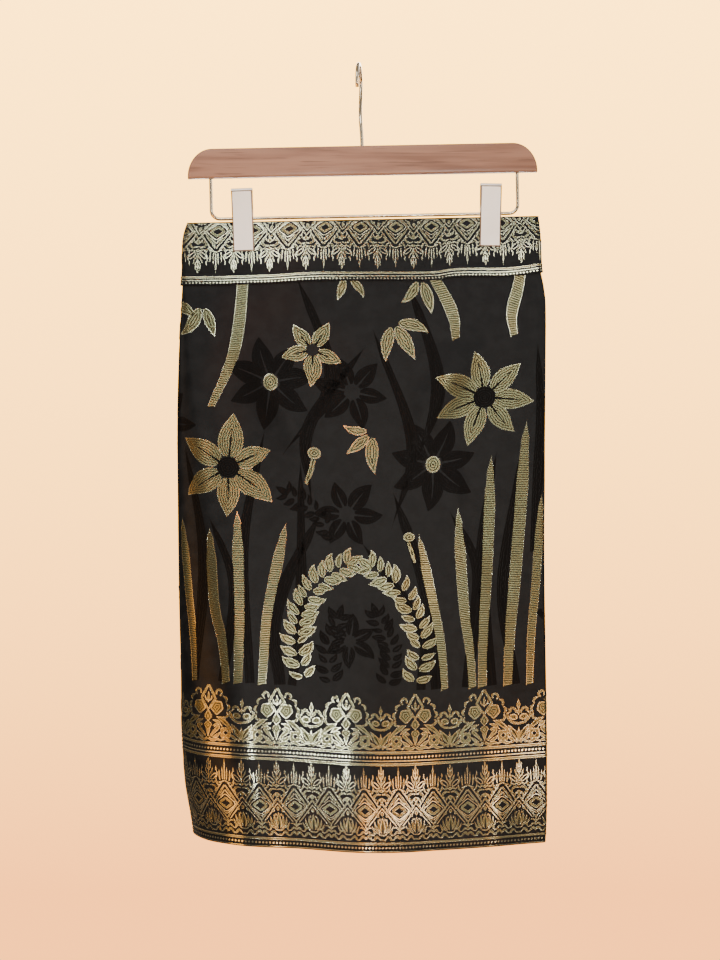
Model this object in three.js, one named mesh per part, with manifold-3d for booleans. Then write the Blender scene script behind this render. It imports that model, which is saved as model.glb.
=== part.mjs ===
// A pre-tied samping: a brocade tube with a waistband, held flat at the waist by the two clips of a
// wooden clip hanger and hanging open at the hem. Millimetres, +X to the viewer's right, +Y to the
// back and +Z up. The origin is the seat of the hanger's hook, where a rail bears.
import * as THREE from 'three';
import { mergeVertices } from 'three/addons/utils/BufferGeometryUtils.js';
import Module from 'manifold-3d';

const wasm = await Module();
wasm.setup();

// Cloth
const clothThickness = 1.2;
const layerGap = 0.45; // between the waistband and the tube under it
const seamGap = 0.6; // between the front and the back where they meet
const creaseRadius = 2; // of the pressed crease on the right, outside
const bandClearance = 4.2; // from the rod's centreline down to the waistband's top edge
const tuckedEdge = 1.5; // how far the tube's top edge stays below the waistband's

// Hanger
const hangerTilt = THREE.MathUtils.degToRad(1.13); // its right end hangs higher
const stemFoot = { x: 3.1, z: -83 }; // where the hook's stem enters the top of the bar
const barLength = 360;
const barHeight = 30;
const barDepth = 12;
const barEndLength = 24; // of the bar that each rounded end takes
const barChamfer = 1.2;
const hookWire = 3.6; // diameter
const hookRadius = 19; // of the crown, to the middle of the wire
const hookTurn = THREE.MathUtils.degToRad(6); // of the hook about its stem
const rodWire = 3.4; // diameter
const rodSpan = 316; // between the middles of the rod's two legs
const rodOffset = 1.4; // of the rod's middle from the bar's middle
const rodDrop = 42; // from the bar's underside to the middle of the rod
const rodCorner = 9; // radius of the rod's bends
const socketDepth = 12; // how deep the hook and the rod stand in the bar
const fitGap = 0.55; // round a wire in the bar
const clipPlay = 0.75; // round the rod in a clip, which lets the clip lean

// Clips, each with its own place on the rod and its own lean
const clips = [
  { name: 'clip_left', place: -124.3, lean: 1.0 },
  { name: 'clip_right', place: 131, lean: -2.2 },
];
const jawWidth = 21.4;
const jawThickness = 1.2;
const jawAbove = 30; // from the rod's middle to the top of a jaw
const jawBelow = 34; // from the rod's middle to the tip of a jaw
const jawGrip = 4.15; // from the clip's middle plane to a jaw's inner face at its tip
const jawWaist = 5.4; // the same at the rod
const jawFlare = 8.5; // the same at the top
const earThickness = 1;
const earRim = 0.7; // of metal round an ear's hole
const earGap = 0.3; // between the ears of the two jaws
const earRise = 9; // of an ear's root above the rod's middle
const springWidth = 11;
const springThickness = 0.7;
const springArm = { reach: 6.5, height: 17 }; // of the tips of its two arms

// The tube's outline at each level: its left and right edges, how far the front and the back stand
// from the middle plane, where the left edge lies in depth, and how long its two roundings are.
const levels = [
  { z: -158, left: -174.8, right: 184.0, front: 2, back: 2, edge: 0, frontTurn: 2, backTurn: 2 },
  { z: -178, left: -180.2, right: 186.0, front: 2, back: 2, edge: 0, frontTurn: 2, backTurn: 2 },
  { z: -212, left: -181.4, right: 187.6, front: 2, back: 2, edge: 0, frontTurn: 2, backTurn: 2 },
  { z: -226, left: -182.2, right: 190.4, front: 2.3, back: 2.2, edge: 0, frontTurn: 2.6, backTurn: 2.3 },
  { z: -245, left: -183.2, right: 192.6, front: 3, back: 2.6, edge: 0, frontTurn: 4, backTurn: 3 },
  { z: -300, left: -186.0, right: 192.6, front: 5, back: 4, edge: 0.5, frontTurn: 12, backTurn: 6 },
  { z: -370, left: -187.6, right: 192.0, front: 7, back: 6, edge: 2, frontTurn: 24, backTurn: 9 },
  { z: -450, left: -187.2, right: 191.2, front: 10, back: 9, edge: 4, frontTurn: 38, backTurn: 12 },
  { z: -530, left: -186.6, right: 191.4, front: 14, back: 14, edge: 8, frontTurn: 52, backTurn: 15 },
  { z: -610, left: -185.4, right: 192.6, front: 19, back: 20, edge: 13, frontTurn: 65, backTurn: 18 },
  { z: -680, left: -184.6, right: 193.6, front: 24, back: 27, edge: 19, frontTurn: 76, backTurn: 21 },
  { z: -740, left: -181.0, right: 193.9, front: 28, back: 33, edge: 24, frontTurn: 83, backTurn: 24 },
  { z: -780, left: -174.8, right: 193.4, front: 30, back: 37, edge: 28, frontTurn: 87, backTurn: 26 },
  { z: -808, left: -171.4, right: 191.8, front: 31, back: 39, edge: 30, frontTurn: 88, backTurn: 27 },
];

// Heights of the hem and of the waistband's lower edge, round the tube from the crease
const hemLine = [
  { share: 0, z: -800 },
  { share: 0.08, z: -803.5 },
  { share: 0.14, z: -806.5 },
  { share: 0.2, z: -808 },
  { share: 0.26, z: -806.5 },
  { share: 0.34, z: -801.8 },
  { share: 0.42, z: -798.2 },
  { share: 0.46, z: -797 },
  { share: 0.5, z: -794.5 },
  { share: 0.62, z: -792 },
  { share: 0.82, z: -796 },
  { share: 1, z: -800 },
];
const bandLine = [
  { share: 0, z: -212.5 },
  { share: 0.03, z: -215.6 },
  { share: 0.055, z: -217.2 },
  { share: 0.12, z: -217.6 },
  { share: 0.15, z: -220.7 },
  { share: 0.24, z: -221.2 },
  { share: 0.32, z: -221.6 },
  { share: 0.38, z: -224.3 },
  { share: 0.5, z: -226.1 },
  { share: 0.75, z: -221 },
  { share: 1, z: -212.5 },
];

// The largest soft folds, each a ridge or (negative rise) a trough that runs down the cloth. Place is
// measured round the tube from the crease, at the fold's lower end; slant is its drift for each
// millimetre up; from and to are the heights between which it stands.
const folds = [
  { place: 58, slant: 0.02, width: 24, rise: 3.2, from: -560, to: -900 },
  { place: 118, slant: -0.03, width: 26, rise: -3, from: -600, to: -900 },
  { place: 196, slant: 0.05, width: 30, rise: 3.6, from: -480, to: -900 },
  { place: 262, slant: 0.02, width: 24, rise: -2.6, from: -600, to: -900 },
  { place: 315, slant: 0.06, width: 22, rise: 2.6, from: -540, to: -900 },
  { place: 452, slant: -0.05, width: 30, rise: 3.4, from: -520, to: -900 },
  { place: 532, slant: 0.04, width: 30, rise: -3.2, from: -560, to: -900 },
  { place: 612, slant: 0.03, width: 28, rise: 3.8, from: -470, to: -900 },
  { place: 690, slant: -0.02, width: 26, rise: -2.4, from: -600, to: -900 },
  { place: 150, slant: -0.42, width: 20, rise: 2.2, from: -250, to: -430 },
  { place: 232, slant: 0.46, width: 22, rise: 2, from: -250, to: -440 },
  { place: 585, slant: -0.4, width: 24, rise: 2.2, from: -250, to: -450 },
];

// Counts of faces
const middleColumns = 26;
const bandRows = 3; // from the top down to the waistband's lower edge
const skirtRows = 17; // from there to the hem
const wireSides = 8;

const clothPattern = new THREE.MeshStandardMaterial({ color: 0x4b4638, roughness: 0.45, metalness: 0.35 });
const wood = new THREE.MeshStandardMaterial({ color: 0x9a6a4e, roughness: 0.5 });
const polishedWire = new THREE.MeshStandardMaterial({ color: 0xcfc6b4, roughness: 0.22, metalness: 1 });
const brushedPlate = new THREE.MeshStandardMaterial({ color: 0xd6cfc8, roughness: 0.38, metalness: 1 });

const mix = (a, b, t) => a + (b - a) * t;
const easeInOut = (t) => t * t * (3 - 2 * t);
const within = (t) => Math.min(Math.max(t, 0), 1);

// Smooth values between the rows of a table, ordered by the column that key names
function readTable(rows, key, at) {
  const order = Math.sign(rows[1][key] - rows[0][key]);
  let i = rows.findIndex((row) => (row[key] - at) * order > 0) - 1;
  if (i === -2) i = rows.length - 2;
  i = Math.max(i, 0);
  const row = {};
  const t = within((at - rows[i][key]) / (rows[i + 1][key] - rows[i][key]));
  for (const column of Object.keys(rows[0])) {
    const slope = (k) => {
      const a = rows[Math.max(k - 1, 0)];
      const b = rows[Math.min(k + 1, rows.length - 1)];
      return (b[column] - a[column]) / (b[key] - a[key]);
    };
    const span = rows[i + 1][key] - rows[i][key];
    const p = rows[i][column];
    const q = rows[i + 1][column];
    const rise = (slope(i) * (1 - t) - slope(i + 1) * t) * t * (1 - t) * span;
    row[column] = mix(p, q, easeInOut(t)) + rise;
  }
  return row;
}

// The outline of the tube at a height, from the crease over the front to the left edge and back
function outlineAt(z) {
  const s = readTable(levels, 'z', z);
  const round = 0.55; // how far a rounding's handles reach
  const r = creaseRadius;
  const point = (x, y) => new THREE.Vector2(x, y);
  const crease = point(s.right, 0);
  const frontStart = point(s.right - r, -r);
  const frontEnd = point(s.left + s.frontTurn, -s.front);
  const leftEdge = point(s.left, s.edge);
  const backStart = point(s.left + s.backTurn, s.back);
  const backEnd = point(s.right - r, r);
  const along = (a, b, d) => a.clone().add(b.clone().sub(a).setLength(d));
  const frontLean = along(frontEnd, frontStart, -s.frontTurn * round);
  const backLean = along(backStart, backEnd, -s.backTurn * round);
  const bend = (a, b, c, d, n) => new THREE.CubicBezierCurve(a, b, c, d).getPoints(n).slice(1);
  const straight = (a, b, n) => new THREE.LineCurve(a, b).getPoints(n).slice(1);
  const handle = (y) => point(s.left, mix(s.edge, y, round));
  const front = [
    crease,
    ...bend(crease, point(s.right, -r * round), along(frontStart, frontEnd, -r * round), frontStart, 8),
    ...straight(frontStart, frontEnd, 40),
    ...bend(frontEnd, frontLean, handle(-s.front), leftEdge, 30),
  ];
  const back = [
    ...bend(leftEdge, handle(s.back), backLean, backStart, 24),
    ...straight(backStart, backEnd, 40),
    ...bend(backEnd, along(backEnd, backStart, -r * round), point(s.right, r * round), crease, 8),
  ];
  const points = [...front, ...back];
  const lengths = [0];
  for (let i = 1; i < points.length; i++) {
    lengths.push(lengths[i - 1] + points[i].distanceTo(points[i - 1]));
  }
  return { points, lengths, leftLength: lengths[front.length - 1], total: lengths.at(-1) };
}

function pointOnOutline(outline, length) {
  const { points, lengths } = outline;
  const count = points.length - 1; // the last point is the first again
  let i = 1;
  while (i < lengths.length - 1 && lengths[i] < length) i++;
  const t = (length - lengths[i - 1]) / (lengths[i] - lengths[i - 1]);
  const at = points[i - 1].clone().lerp(points[i], t);
  const before = points[(i - 2 + count) % count];
  const after = points[(i + 1) % count];
  const run = after.clone().sub(before).normalize();
  return { at, out: new THREE.Vector2(-run.y, run.x) };
}

function foldRise(length, z) {
  let rise = 0;
  for (const fold of folds) {
    const depth = within((fold.from - z) / (fold.from - fold.to));
    const full = fold.to < -810 ? easeInOut(depth) : Math.sin(Math.PI * depth) ** 2;
    const middle = fold.place + fold.slant * (z - Math.max(fold.to, -800));
    rise += fold.rise * full * Math.exp(-(((length - middle) / fold.width) ** 2));
  }
  return rise;
}

const bandTopAt = (x) => {
  const rodMiddle = stemFoot.z - barHeight - rodDrop + (x - stemFoot.x) * Math.tan(hangerTilt);
  return rodMiddle - bandClearance;
};

// A point of the cloth: a distance round the tube, a height, and a distance out of its surface
function clothPoint(length, z, out) {
  const { at, out: side } = pointOnOutline(outlineAt(z), length);
  at.addScaledVector(side, out + foldRise(length, z));
  return new THREE.Vector3(at.x, at.y, z);
}

// Places round the tube for a panel's columns, close together where the cloth turns
function columnPlaces(start, end) {
  const turn = [0, 0.9, 2, 3.3];
  const places = turn.map((d) => start + d);
  const first = start + 3.3;
  const last = end - 3.3;
  for (let i = 1; i < middleColumns; i++) places.push(mix(first, last, i / middleColumns));
  return [...places, ...turn.toReversed().map((d) => end - d)];
}

// A closed wall of cloth between two surfaces; surface(side, column, row) gives its points, with
// side 0 inside and 1 outside
function clothWall(columns, rows, surface) {
  const positions = [];
  const index = [];
  const id = (side, i, j) => (side * (columns + 1) + i) * (rows + 1) + j;
  for (const side of [0, 1]) {
    for (let i = 0; i <= columns; i++) {
      for (let j = 0; j <= rows; j++) positions.push(...surface(side, i, j).toArray());
    }
  }
  const quad = (a, b, c, d) => index.push(a, b, c, a, c, d);
  for (let i = 0; i < columns; i++) {
    for (let j = 0; j < rows; j++) {
      quad(id(1, i, j), id(1, i + 1, j), id(1, i + 1, j + 1), id(1, i, j + 1));
      quad(id(0, i, j), id(0, i, j + 1), id(0, i + 1, j + 1), id(0, i + 1, j));
    }
    quad(id(1, i, 0), id(0, i, 0), id(0, i + 1, 0), id(1, i + 1, 0));
    quad(id(1, i + 1, rows), id(0, i + 1, rows), id(0, i, rows), id(1, i, rows));
  }
  for (let j = 0; j < rows; j++) {
    quad(id(0, 0, j), id(1, 0, j), id(1, 0, j + 1), id(0, 0, j + 1));
    quad(id(1, columns, j), id(0, columns, j), id(0, columns, j + 1), id(1, columns, j + 1));
  }
  return facingOut(positions, index);
}

// An indexed geometry whose faces are turned to point out
function facingOut(positions, index) {
  let volume = 0;
  const corner = (k) => new THREE.Vector3().fromArray(positions, 3 * index[k]);
  for (let k = 0; k < index.length; k += 3) {
    volume += corner(k).dot(corner(k + 1).cross(corner(k + 2)));
  }
  const turned = volume < 0 ? index.toReversed() : index;
  const geometry = new THREE.BufferGeometry();
  geometry.setAttribute('position', new THREE.Float32BufferAttribute(positions, 3));
  geometry.setIndex(turned);
  geometry.computeVertexNormals();
  return geometry;
}

// The front and the back are cut where the tube turns at its left edge and at the crease
const panels = [
  { name: 'front', span: (o) => [seamGap / 2, o.leftLength - seamGap / 2] },
  { name: 'back', span: (o) => [o.leftLength + seamGap / 2, o.total - seamGap / 2] },
];

function columnCount() {
  return columnPlaces(0, 100).length - 1;
}

// Where a column crosses a height line given as a table round the tube
function lineHeight(line, share) {
  return readTable(line, 'share', share).z;
}

// The point of a panel where a column crosses a row. Rows up to bandRows lie under the waistband, at
// the same heights as its own rows, so that the two layers keep an even gap.
function panelPoint(panel, column, row, topDrop, out) {
  let z = bandTopAt(0);
  let length = 0;
  for (let pass = 0; pass < 3; pass++) {
    const outline = outlineAt(z);
    const [start, end] = panel.span(outline);
    length = columnPlaces(start, end)[column];
    const share = length / outline.total;
    const top = bandTopAt(pointOnOutline(outline, length).at.x);
    const middle = lineHeight(bandLine, share);
    const hem = lineHeight(hemLine, share);
    z = row <= bandRows
      ? mix(top, middle, row / bandRows)
      : mix(middle, hem, (row - bandRows) / skirtRows);
    if (row === 0) z -= topDrop;
  }
  return clothPoint(length, z, out);
}

function tubePanel(panel) {
  return clothWall(columnCount(), bandRows + skirtRows, (side, i, j) => (
    panelPoint(panel, i, j, tuckedEdge, side ? 0 : -clothThickness)
  ));
}

function waistband(panel) {
  return clothWall(columnCount(), bandRows, (side, i, j) => (
    panelPoint(panel, i, j, 0, side ? layerGap + clothThickness : layerGap)
  ));
}

// Solids and booleans
function toSolid(geometry) {
  const bare = geometry.clone();
  bare.deleteAttribute('normal');
  bare.deleteAttribute('uv');
  const merged = mergeVertices(bare, 1e-4);
  return new wasm.Manifold(new wasm.Mesh({
    numProp: 3,
    vertProperties: new Float32Array(merged.attributes.position.array),
    triVerts: new Uint32Array(merged.index.array),
  }));
}

function fromSolid(solid) {
  const { vertProperties, triVerts } = solid.getMesh();
  const geometry = new THREE.BufferGeometry();
  geometry.setAttribute('position', new THREE.BufferAttribute(new Float32Array(vertProperties), 3));
  geometry.setIndex(new THREE.BufferAttribute(new Uint32Array(triVerts), 1));
  geometry.computeVertexNormals();
  return geometry;
}

// A ring of points, each once
function ringPoints(radius, sides) {
  const turn = (2 * Math.PI) / sides;
  const point = (_, i) => new THREE.Vector2(radius * Math.cos(i * turn), radius * Math.sin(i * turn));
  return Array.from({ length: sides }, point);
}

// A path that an extrusion follows with one step for each of its points
class PointPath extends THREE.Curve {
  constructor(points) {
    super();
    this.points = points;
  }

  getPoint(t) {
    const last = this.points.length - 1;
    const i = Math.min(Math.max(Math.floor(t * last), 0), last - 1);
    return this.points[i].clone().lerp(this.points[i + 1], t * last - i);
  }

  getPointAt(t) {
    return this.getPoint(t);
  }

  getTangentAt(t) {
    return this.getTangent(t);
  }
}

function wireAlong(points, diameter) {
  return new THREE.ExtrudeGeometry(new THREE.Shape(ringPoints(diameter / 2, wireSides)), {
    steps: points.length - 1,
    bevelEnabled: false,
    extrudePath: new PointPath(points),
  });
}

function upright(radius, length, x, z) {
  return new THREE.CylinderGeometry(radius, radius, length, 16).rotateX(Math.PI / 2).translate(x, 0, z);
}

// The bar: a long shape with elliptical shoulders, its edges chamfered, bored for the wires
function hangerBar() {
  const half = barLength / 2 - barChamfer;
  const low = -barHeight + barChamfer;
  const high = -barChamfer;
  const outline = new THREE.Shape();
  outline.moveTo(-half, low);
  outline.lineTo(half, low);
  const middle = half - barEndLength;
  outline.absellipse(middle, low, barEndLength, high - low, 0, Math.PI / 2);
  outline.lineTo(-middle, high);
  outline.absellipse(-middle, low, barEndLength, high - low, Math.PI / 2, Math.PI);
  const body = new THREE.ExtrudeGeometry(outline, {
    depth: barDepth - 2 * barChamfer,
    bevelSize: barChamfer,
    bevelThickness: barChamfer,
    bevelSegments: 1,
    curveSegments: 10,
  });
  body.translate(0, 0, -barDepth / 2 + barChamfer).rotateX(Math.PI / 2);
  const overrun = 4; // how far a drill starts outside the bar
  const drill = socketDepth + overrun;
  const stemHole = upright(hookWire / 2 + fitGap, drill + fitGap, 0, overrun - (drill + fitGap) / 2);
  let solid = toSolid(body).subtract(toSolid(stemHole));
  for (const side of [-1, 1]) {
    const x = rodOffset + side * rodSpan / 2;
    const z = -barHeight - overrun + (drill + fitGap) / 2;
    solid = solid.subtract(toSolid(upright(rodWire / 2 + fitGap, drill + fitGap, x, z)));
  }
  return fromSolid(solid);
}

// The rod: down from the bar, round a bend, across and up again
function clipRod() {
  const low = -barHeight - rodDrop;
  const bendSteps = 6;
  const leg = (side) => {
    const x = rodOffset + side * rodSpan / 2;
    const points = [new THREE.Vector3(x, 0, -barHeight + socketDepth)];
    for (let i = 0; i <= bendSteps; i++) {
      const angle = (Math.PI / 2) * (i / bendSteps);
      const dx = side * rodCorner * (Math.cos(angle) - 1);
      points.push(new THREE.Vector3(x + dx, 0, low + rodCorner * (1 - Math.sin(angle))));
    }
    return points;
  };
  return wireAlong([...leg(-1), ...leg(1).reverse()], rodWire);
}

// The hook: a straight stem, a swing to the back, and the crown over the rail to the free tip
function railHook() {
  const points = [];
  const crownMiddle = hookWire / 2 - hookRadius; // height of the crown's centre
  const tipAngle = THREE.MathUtils.degToRad(203);
  const place = (y, z, swing) => {
    const x = mix(stemFoot.x, 0, swing);
    return new THREE.Vector3(x + y * Math.sin(hookTurn), y * Math.cos(hookTurn), z);
  };
  const stem = [
    { y: 0, rise: -socketDepth, swing: 0 },
    { y: 0, rise: 4, swing: 0 },
    { y: 0, rise: 16, swing: 0.2 },
    { y: 0.6, rise: 25, swing: 0.45 },
    { y: 5, rise: 36, swing: 0.7 },
    { y: 12.5, rise: 47, swing: 0.9 },
  ];
  for (const row of stem) points.push(place(row.y, stemFoot.z + row.rise, row.swing));
  const crownSteps = 16;
  for (let i = 0; i <= crownSteps; i++) {
    const angle = mix(THREE.MathUtils.degToRad(-22), tipAngle, i / crownSteps);
    points.push(place(hookRadius * Math.cos(angle), crownMiddle + hookRadius * Math.sin(angle), 1));
  }
  const smooth = new THREE.CatmullRomCurve3(points, false, 'centripetal').getPoints(2 * points.length);
  return wireAlong(smooth, hookWire);
}

// The closed outline of a bent strip that follows a line of points
function stripShape(line, thickness) {
  const sides = [[], []];
  line.forEach((p, i) => {
    const a = line[Math.max(i - 1, 0)];
    const b = line[Math.min(i + 1, line.length - 1)];
    const run = b.clone().sub(a).normalize();
    const out = new THREE.Vector2(-run.y, run.x).multiplyScalar(thickness / 2);
    sides[0].push(p.clone().add(out));
    sides[1].unshift(p.clone().sub(out));
  });
  return new THREE.Shape([...sides[0], ...sides[1]]);
}

// A shape drawn in depth and height, made as wide as given and centred across
function acrossWidth(shape, width, middle = 0) {
  const slab = new THREE.ExtrudeGeometry(shape, { depth: width, bevelEnabled: false, curveSegments: 8 });
  return slab.translate(0, 0, middle - width / 2).applyMatrix4(new THREE.Matrix4().set(
    0, 0, 1, 0,
    1, 0, 0, 0,
    0, 1, 0, 0,
    0, 0, 0, 1,
  ));
}

// One jaw: a bent plate and two ears that turn on the rod. Facing is -1 for the front jaw.
function clipJaw(facing) {
  const middle = (inner) => facing * (inner + jawThickness / 2);
  const above = facing < 0 ? jawAbove : jawAbove + 2;
  const plate = [
    new THREE.Vector2(middle(jawGrip), -jawBelow),
    new THREE.Vector2(middle(jawGrip), -jawBelow * 0.3),
    new THREE.Vector2(middle(jawWaist), 0),
    new THREE.Vector2(middle(mix(jawWaist, jawFlare, 0.55)), above * 0.5),
    new THREE.Vector2(middle(jawFlare), above - 2),
    new THREE.Vector2(middle(jawFlare - 1.2), above),
  ];
  let solid = toSolid(acrossWidth(stripShape(plate, jawThickness), jawWidth));
  const hole = rodWire / 2 + clipPlay;
  const rim = hole + earRim;
  const root = facing * (jawWaist + jawThickness / 2);
  const inset = facing < 0 ? 0 : earThickness + earGap;
  const earShape = new THREE.Shape();
  const turned = facing < 0 ? 0 : Math.PI; // the back jaw's ear is the front one's, turned and flipped
  earShape.moveTo(root, facing < 0 ? -rim : earRise);
  earShape.lineTo(0, facing < 0 ? -rim : rim);
  earShape.absarc(0, 0, rim, turned - Math.PI / 2, turned + Math.PI / 2, false);
  earShape.lineTo(root, facing < 0 ? earRise : -rim);
  earShape.holes.push(new THREE.Path(ringPoints(hole, 16)));
  for (const side of [-1, 1]) {
    const place = side * (jawWidth / 2 - earThickness / 2 - inset);
    solid = solid.add(toSolid(acrossWidth(earShape, earThickness, place)));
  }
  return fromSolid(solid);
}

// The leaf spring: round under the rod, then up between the jaws
function clipSpring() {
  const line = [];
  const bend = rodWire / 2 + clipPlay + springThickness / 2;
  const wrap = THREE.MathUtils.degToRad(15); // how far past level the round part runs
  const bendSteps = 10;
  line.push(new THREE.Vector2(-springArm.reach, springArm.height));
  for (let i = 0; i <= bendSteps; i++) {
    const angle = mix(Math.PI - wrap, 2 * Math.PI + wrap, i / bendSteps);
    line.push(new THREE.Vector2(bend * Math.cos(angle), bend * Math.sin(angle)));
  }
  line.push(new THREE.Vector2(springArm.reach, springArm.height));
  return acrossWidth(stripShape(line, springThickness), springWidth);
}

const samping = new THREE.Group();
function addPiece(parent, name, geometry, material) {
  const mesh = new THREE.Mesh(geometry, material.clone());
  mesh.name = name;
  parent.add(mesh);
}

for (const panel of panels) {
  addPiece(samping, `${panel.name}_panel`, tubePanel(panel), clothPattern);
  addPiece(samping, `waistband_${panel.name}`, waistband(panel), clothPattern);
}
addPiece(samping, 'hook', railHook(), polishedWire);

const hanger = new THREE.Group();
hanger.position.set(stemFoot.x, 0, stemFoot.z);
hanger.rotation.y = -hangerTilt;
samping.add(hanger);
addPiece(hanger, 'hanger_bar', hangerBar(), wood);
addPiece(hanger, 'clip_rod', clipRod(), polishedWire);
for (const clip of clips) {
  const holder = new THREE.Group();
  holder.position.set(clip.place, 0, -barHeight - rodDrop);
  holder.rotation.y = -THREE.MathUtils.degToRad(clip.lean);
  hanger.add(holder);
  addPiece(holder, `${clip.name}_front_jaw`, clipJaw(-1), brushedPlate);
  addPiece(holder, `${clip.name}_back_jaw`, clipJaw(1), brushedPlate);
  addPiece(holder, `${clip.name}_spring`, clipSpring(), brushedPlate);
}

export default samping;
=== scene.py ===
import math
import random

import bmesh
import bpy
import numpy as np
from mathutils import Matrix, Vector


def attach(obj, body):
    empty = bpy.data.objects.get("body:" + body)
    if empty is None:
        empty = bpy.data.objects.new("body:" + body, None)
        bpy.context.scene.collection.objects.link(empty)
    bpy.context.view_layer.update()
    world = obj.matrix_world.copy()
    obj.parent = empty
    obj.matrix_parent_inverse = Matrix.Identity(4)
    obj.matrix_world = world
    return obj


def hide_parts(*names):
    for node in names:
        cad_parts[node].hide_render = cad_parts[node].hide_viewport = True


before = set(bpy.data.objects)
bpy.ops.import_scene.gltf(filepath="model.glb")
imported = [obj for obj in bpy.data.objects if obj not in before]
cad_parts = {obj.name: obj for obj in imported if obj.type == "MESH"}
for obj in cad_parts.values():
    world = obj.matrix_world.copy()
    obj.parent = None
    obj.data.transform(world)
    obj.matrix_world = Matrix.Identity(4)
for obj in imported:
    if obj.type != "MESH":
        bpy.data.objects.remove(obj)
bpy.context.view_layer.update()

# Camera, lights and floor first. The shared frame is in metres, the cloth's tables are in millimetres.
mm = 0.001
camera = {"place": (0.00103, -2.2, -0.427), "lens": 80, "sensor": 36}
cameraData = bpy.data.cameras.new("viewCamera")
cameraData.lens, cameraData.sensor_width = camera["lens"], camera["sensor"]
cameraObject = bpy.data.objects.new("viewCamera", cameraData)
cameraObject.location = camera["place"]
cameraObject.rotation_euler = (math.radians(90), 0, 0)
bpy.context.scene.collection.objects.link(cameraObject)
bpy.context.scene.camera = cameraObject

studio = {
    "heights": (-0.8, 1.0),  # of a direction, at the start and end of the two ramps below
    "background": ((0.34, (3.6, 1.34, 0.33)), (0.58, (8.0, 4.30, 0.85))),
    "room": ((0.0, (0.08, 0.045, 0.024)), (0.52, (0.17, 0.155, 0.13)), (0.72, (0.56, 0.51, 0.45))),
    "floorLevel": -1.45, "floorSize": 3.6, "floorTone": (0.78, 0.62, 0.50, 1), "floorRoughness": 0.8,
    "lights": [  # name, place, aim, size, power, colour
        ("softTop", (-0.5, -1.5, 1.3), (0, 0, -0.35), (1.6, 1.0), 33, (1.0, 0.98, 0.95)),
        ("softLeft", (-1.9, -1.2, 0.25), (0, 0, -0.4), (0.9, 1.1), 8, (1.0, 0.97, 0.93)),
        ("softRight", (1.9, -1.4, 0.2), (0, 0, -0.4), (0.9, 1.1), 20, (1.0, 0.93, 0.84)),
        ("lowGlint", (0.15, -2.6, -0.64), (-0.04, 0, -0.68), (0.24, 0.10), 8.0, (0.97, 1.0, 0.95)),
        ("hemGlint", (0.85, -2.4, -1.02), (0.08, 0, -0.78), (0.12, 0.12), 1.4, (1.0, 0.99, 0.94)),
        ("topGlint", (-0.22, -2.6, 0.08), (-0.1, 0, -0.2), (0.20, 0.12), 3.4, (0.93, 1.0, 0.95)),
        ("sideGlint", (0.36, -2.5, -0.02), (0.1, 0, -0.22), (0.22, 0.12), 4.0, (0.98, 1.0, 0.95)),
        ("copperGlow", (-0.01, -2.6, -0.17), (0.04, 0, -0.36), (0.12, 0.15), 2.6, (1.0, 0.31, 0.08)),
        ("warmMiddle", (0.10, -2.6, -1.02), (0, 0, -0.78), (0.70, 0.16), 1.0, (1.0, 0.42, 0.10)),
        ("warmRight", (0.80, -2.4, -0.92), (0.14, 0, -0.76), (0.50, 0.30), 5.6, (1.0, 0.42, 0.10)),
        ("warmLeft", (-1.5, -1.5, -0.92), (-0.14, 0, -0.76), (1.1, 0.6), 20.0, (1.0, 0.43, 0.10)),
        ("backFill", (0.4, 1.9, 0.3), (0, 0, -0.5), (1.8, 1.4), 85, (1.0, 0.95, 0.90)),
    ],
}


def deselectAll():
    if bpy.context.object and bpy.context.object.mode != "OBJECT":
        bpy.ops.object.mode_set(mode="OBJECT")
    bpy.ops.object.select_all(action="DESELECT")


def pick(obj):
    deselectAll()
    obj.select_set(True)
    bpy.context.view_layer.objects.active = obj


def colourRamp(tree, value, stops, background):
    ramp = tree.nodes.new("ShaderNodeValToRGB")
    marks = ramp.color_ramp.elements
    for k, (place, colour) in ((0, stops[0]), (1, stops[-1])):
        marks[k].position, marks[k].color = place, (*colour, 1)
    for place, colour in stops[1:-1]:
        marks.new(place).color = (*colour, 1)
    tree.links.new(value, ramp.inputs["Fac"])
    tree.links.new(ramp.outputs["Color"], background.inputs["Color"])


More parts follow.
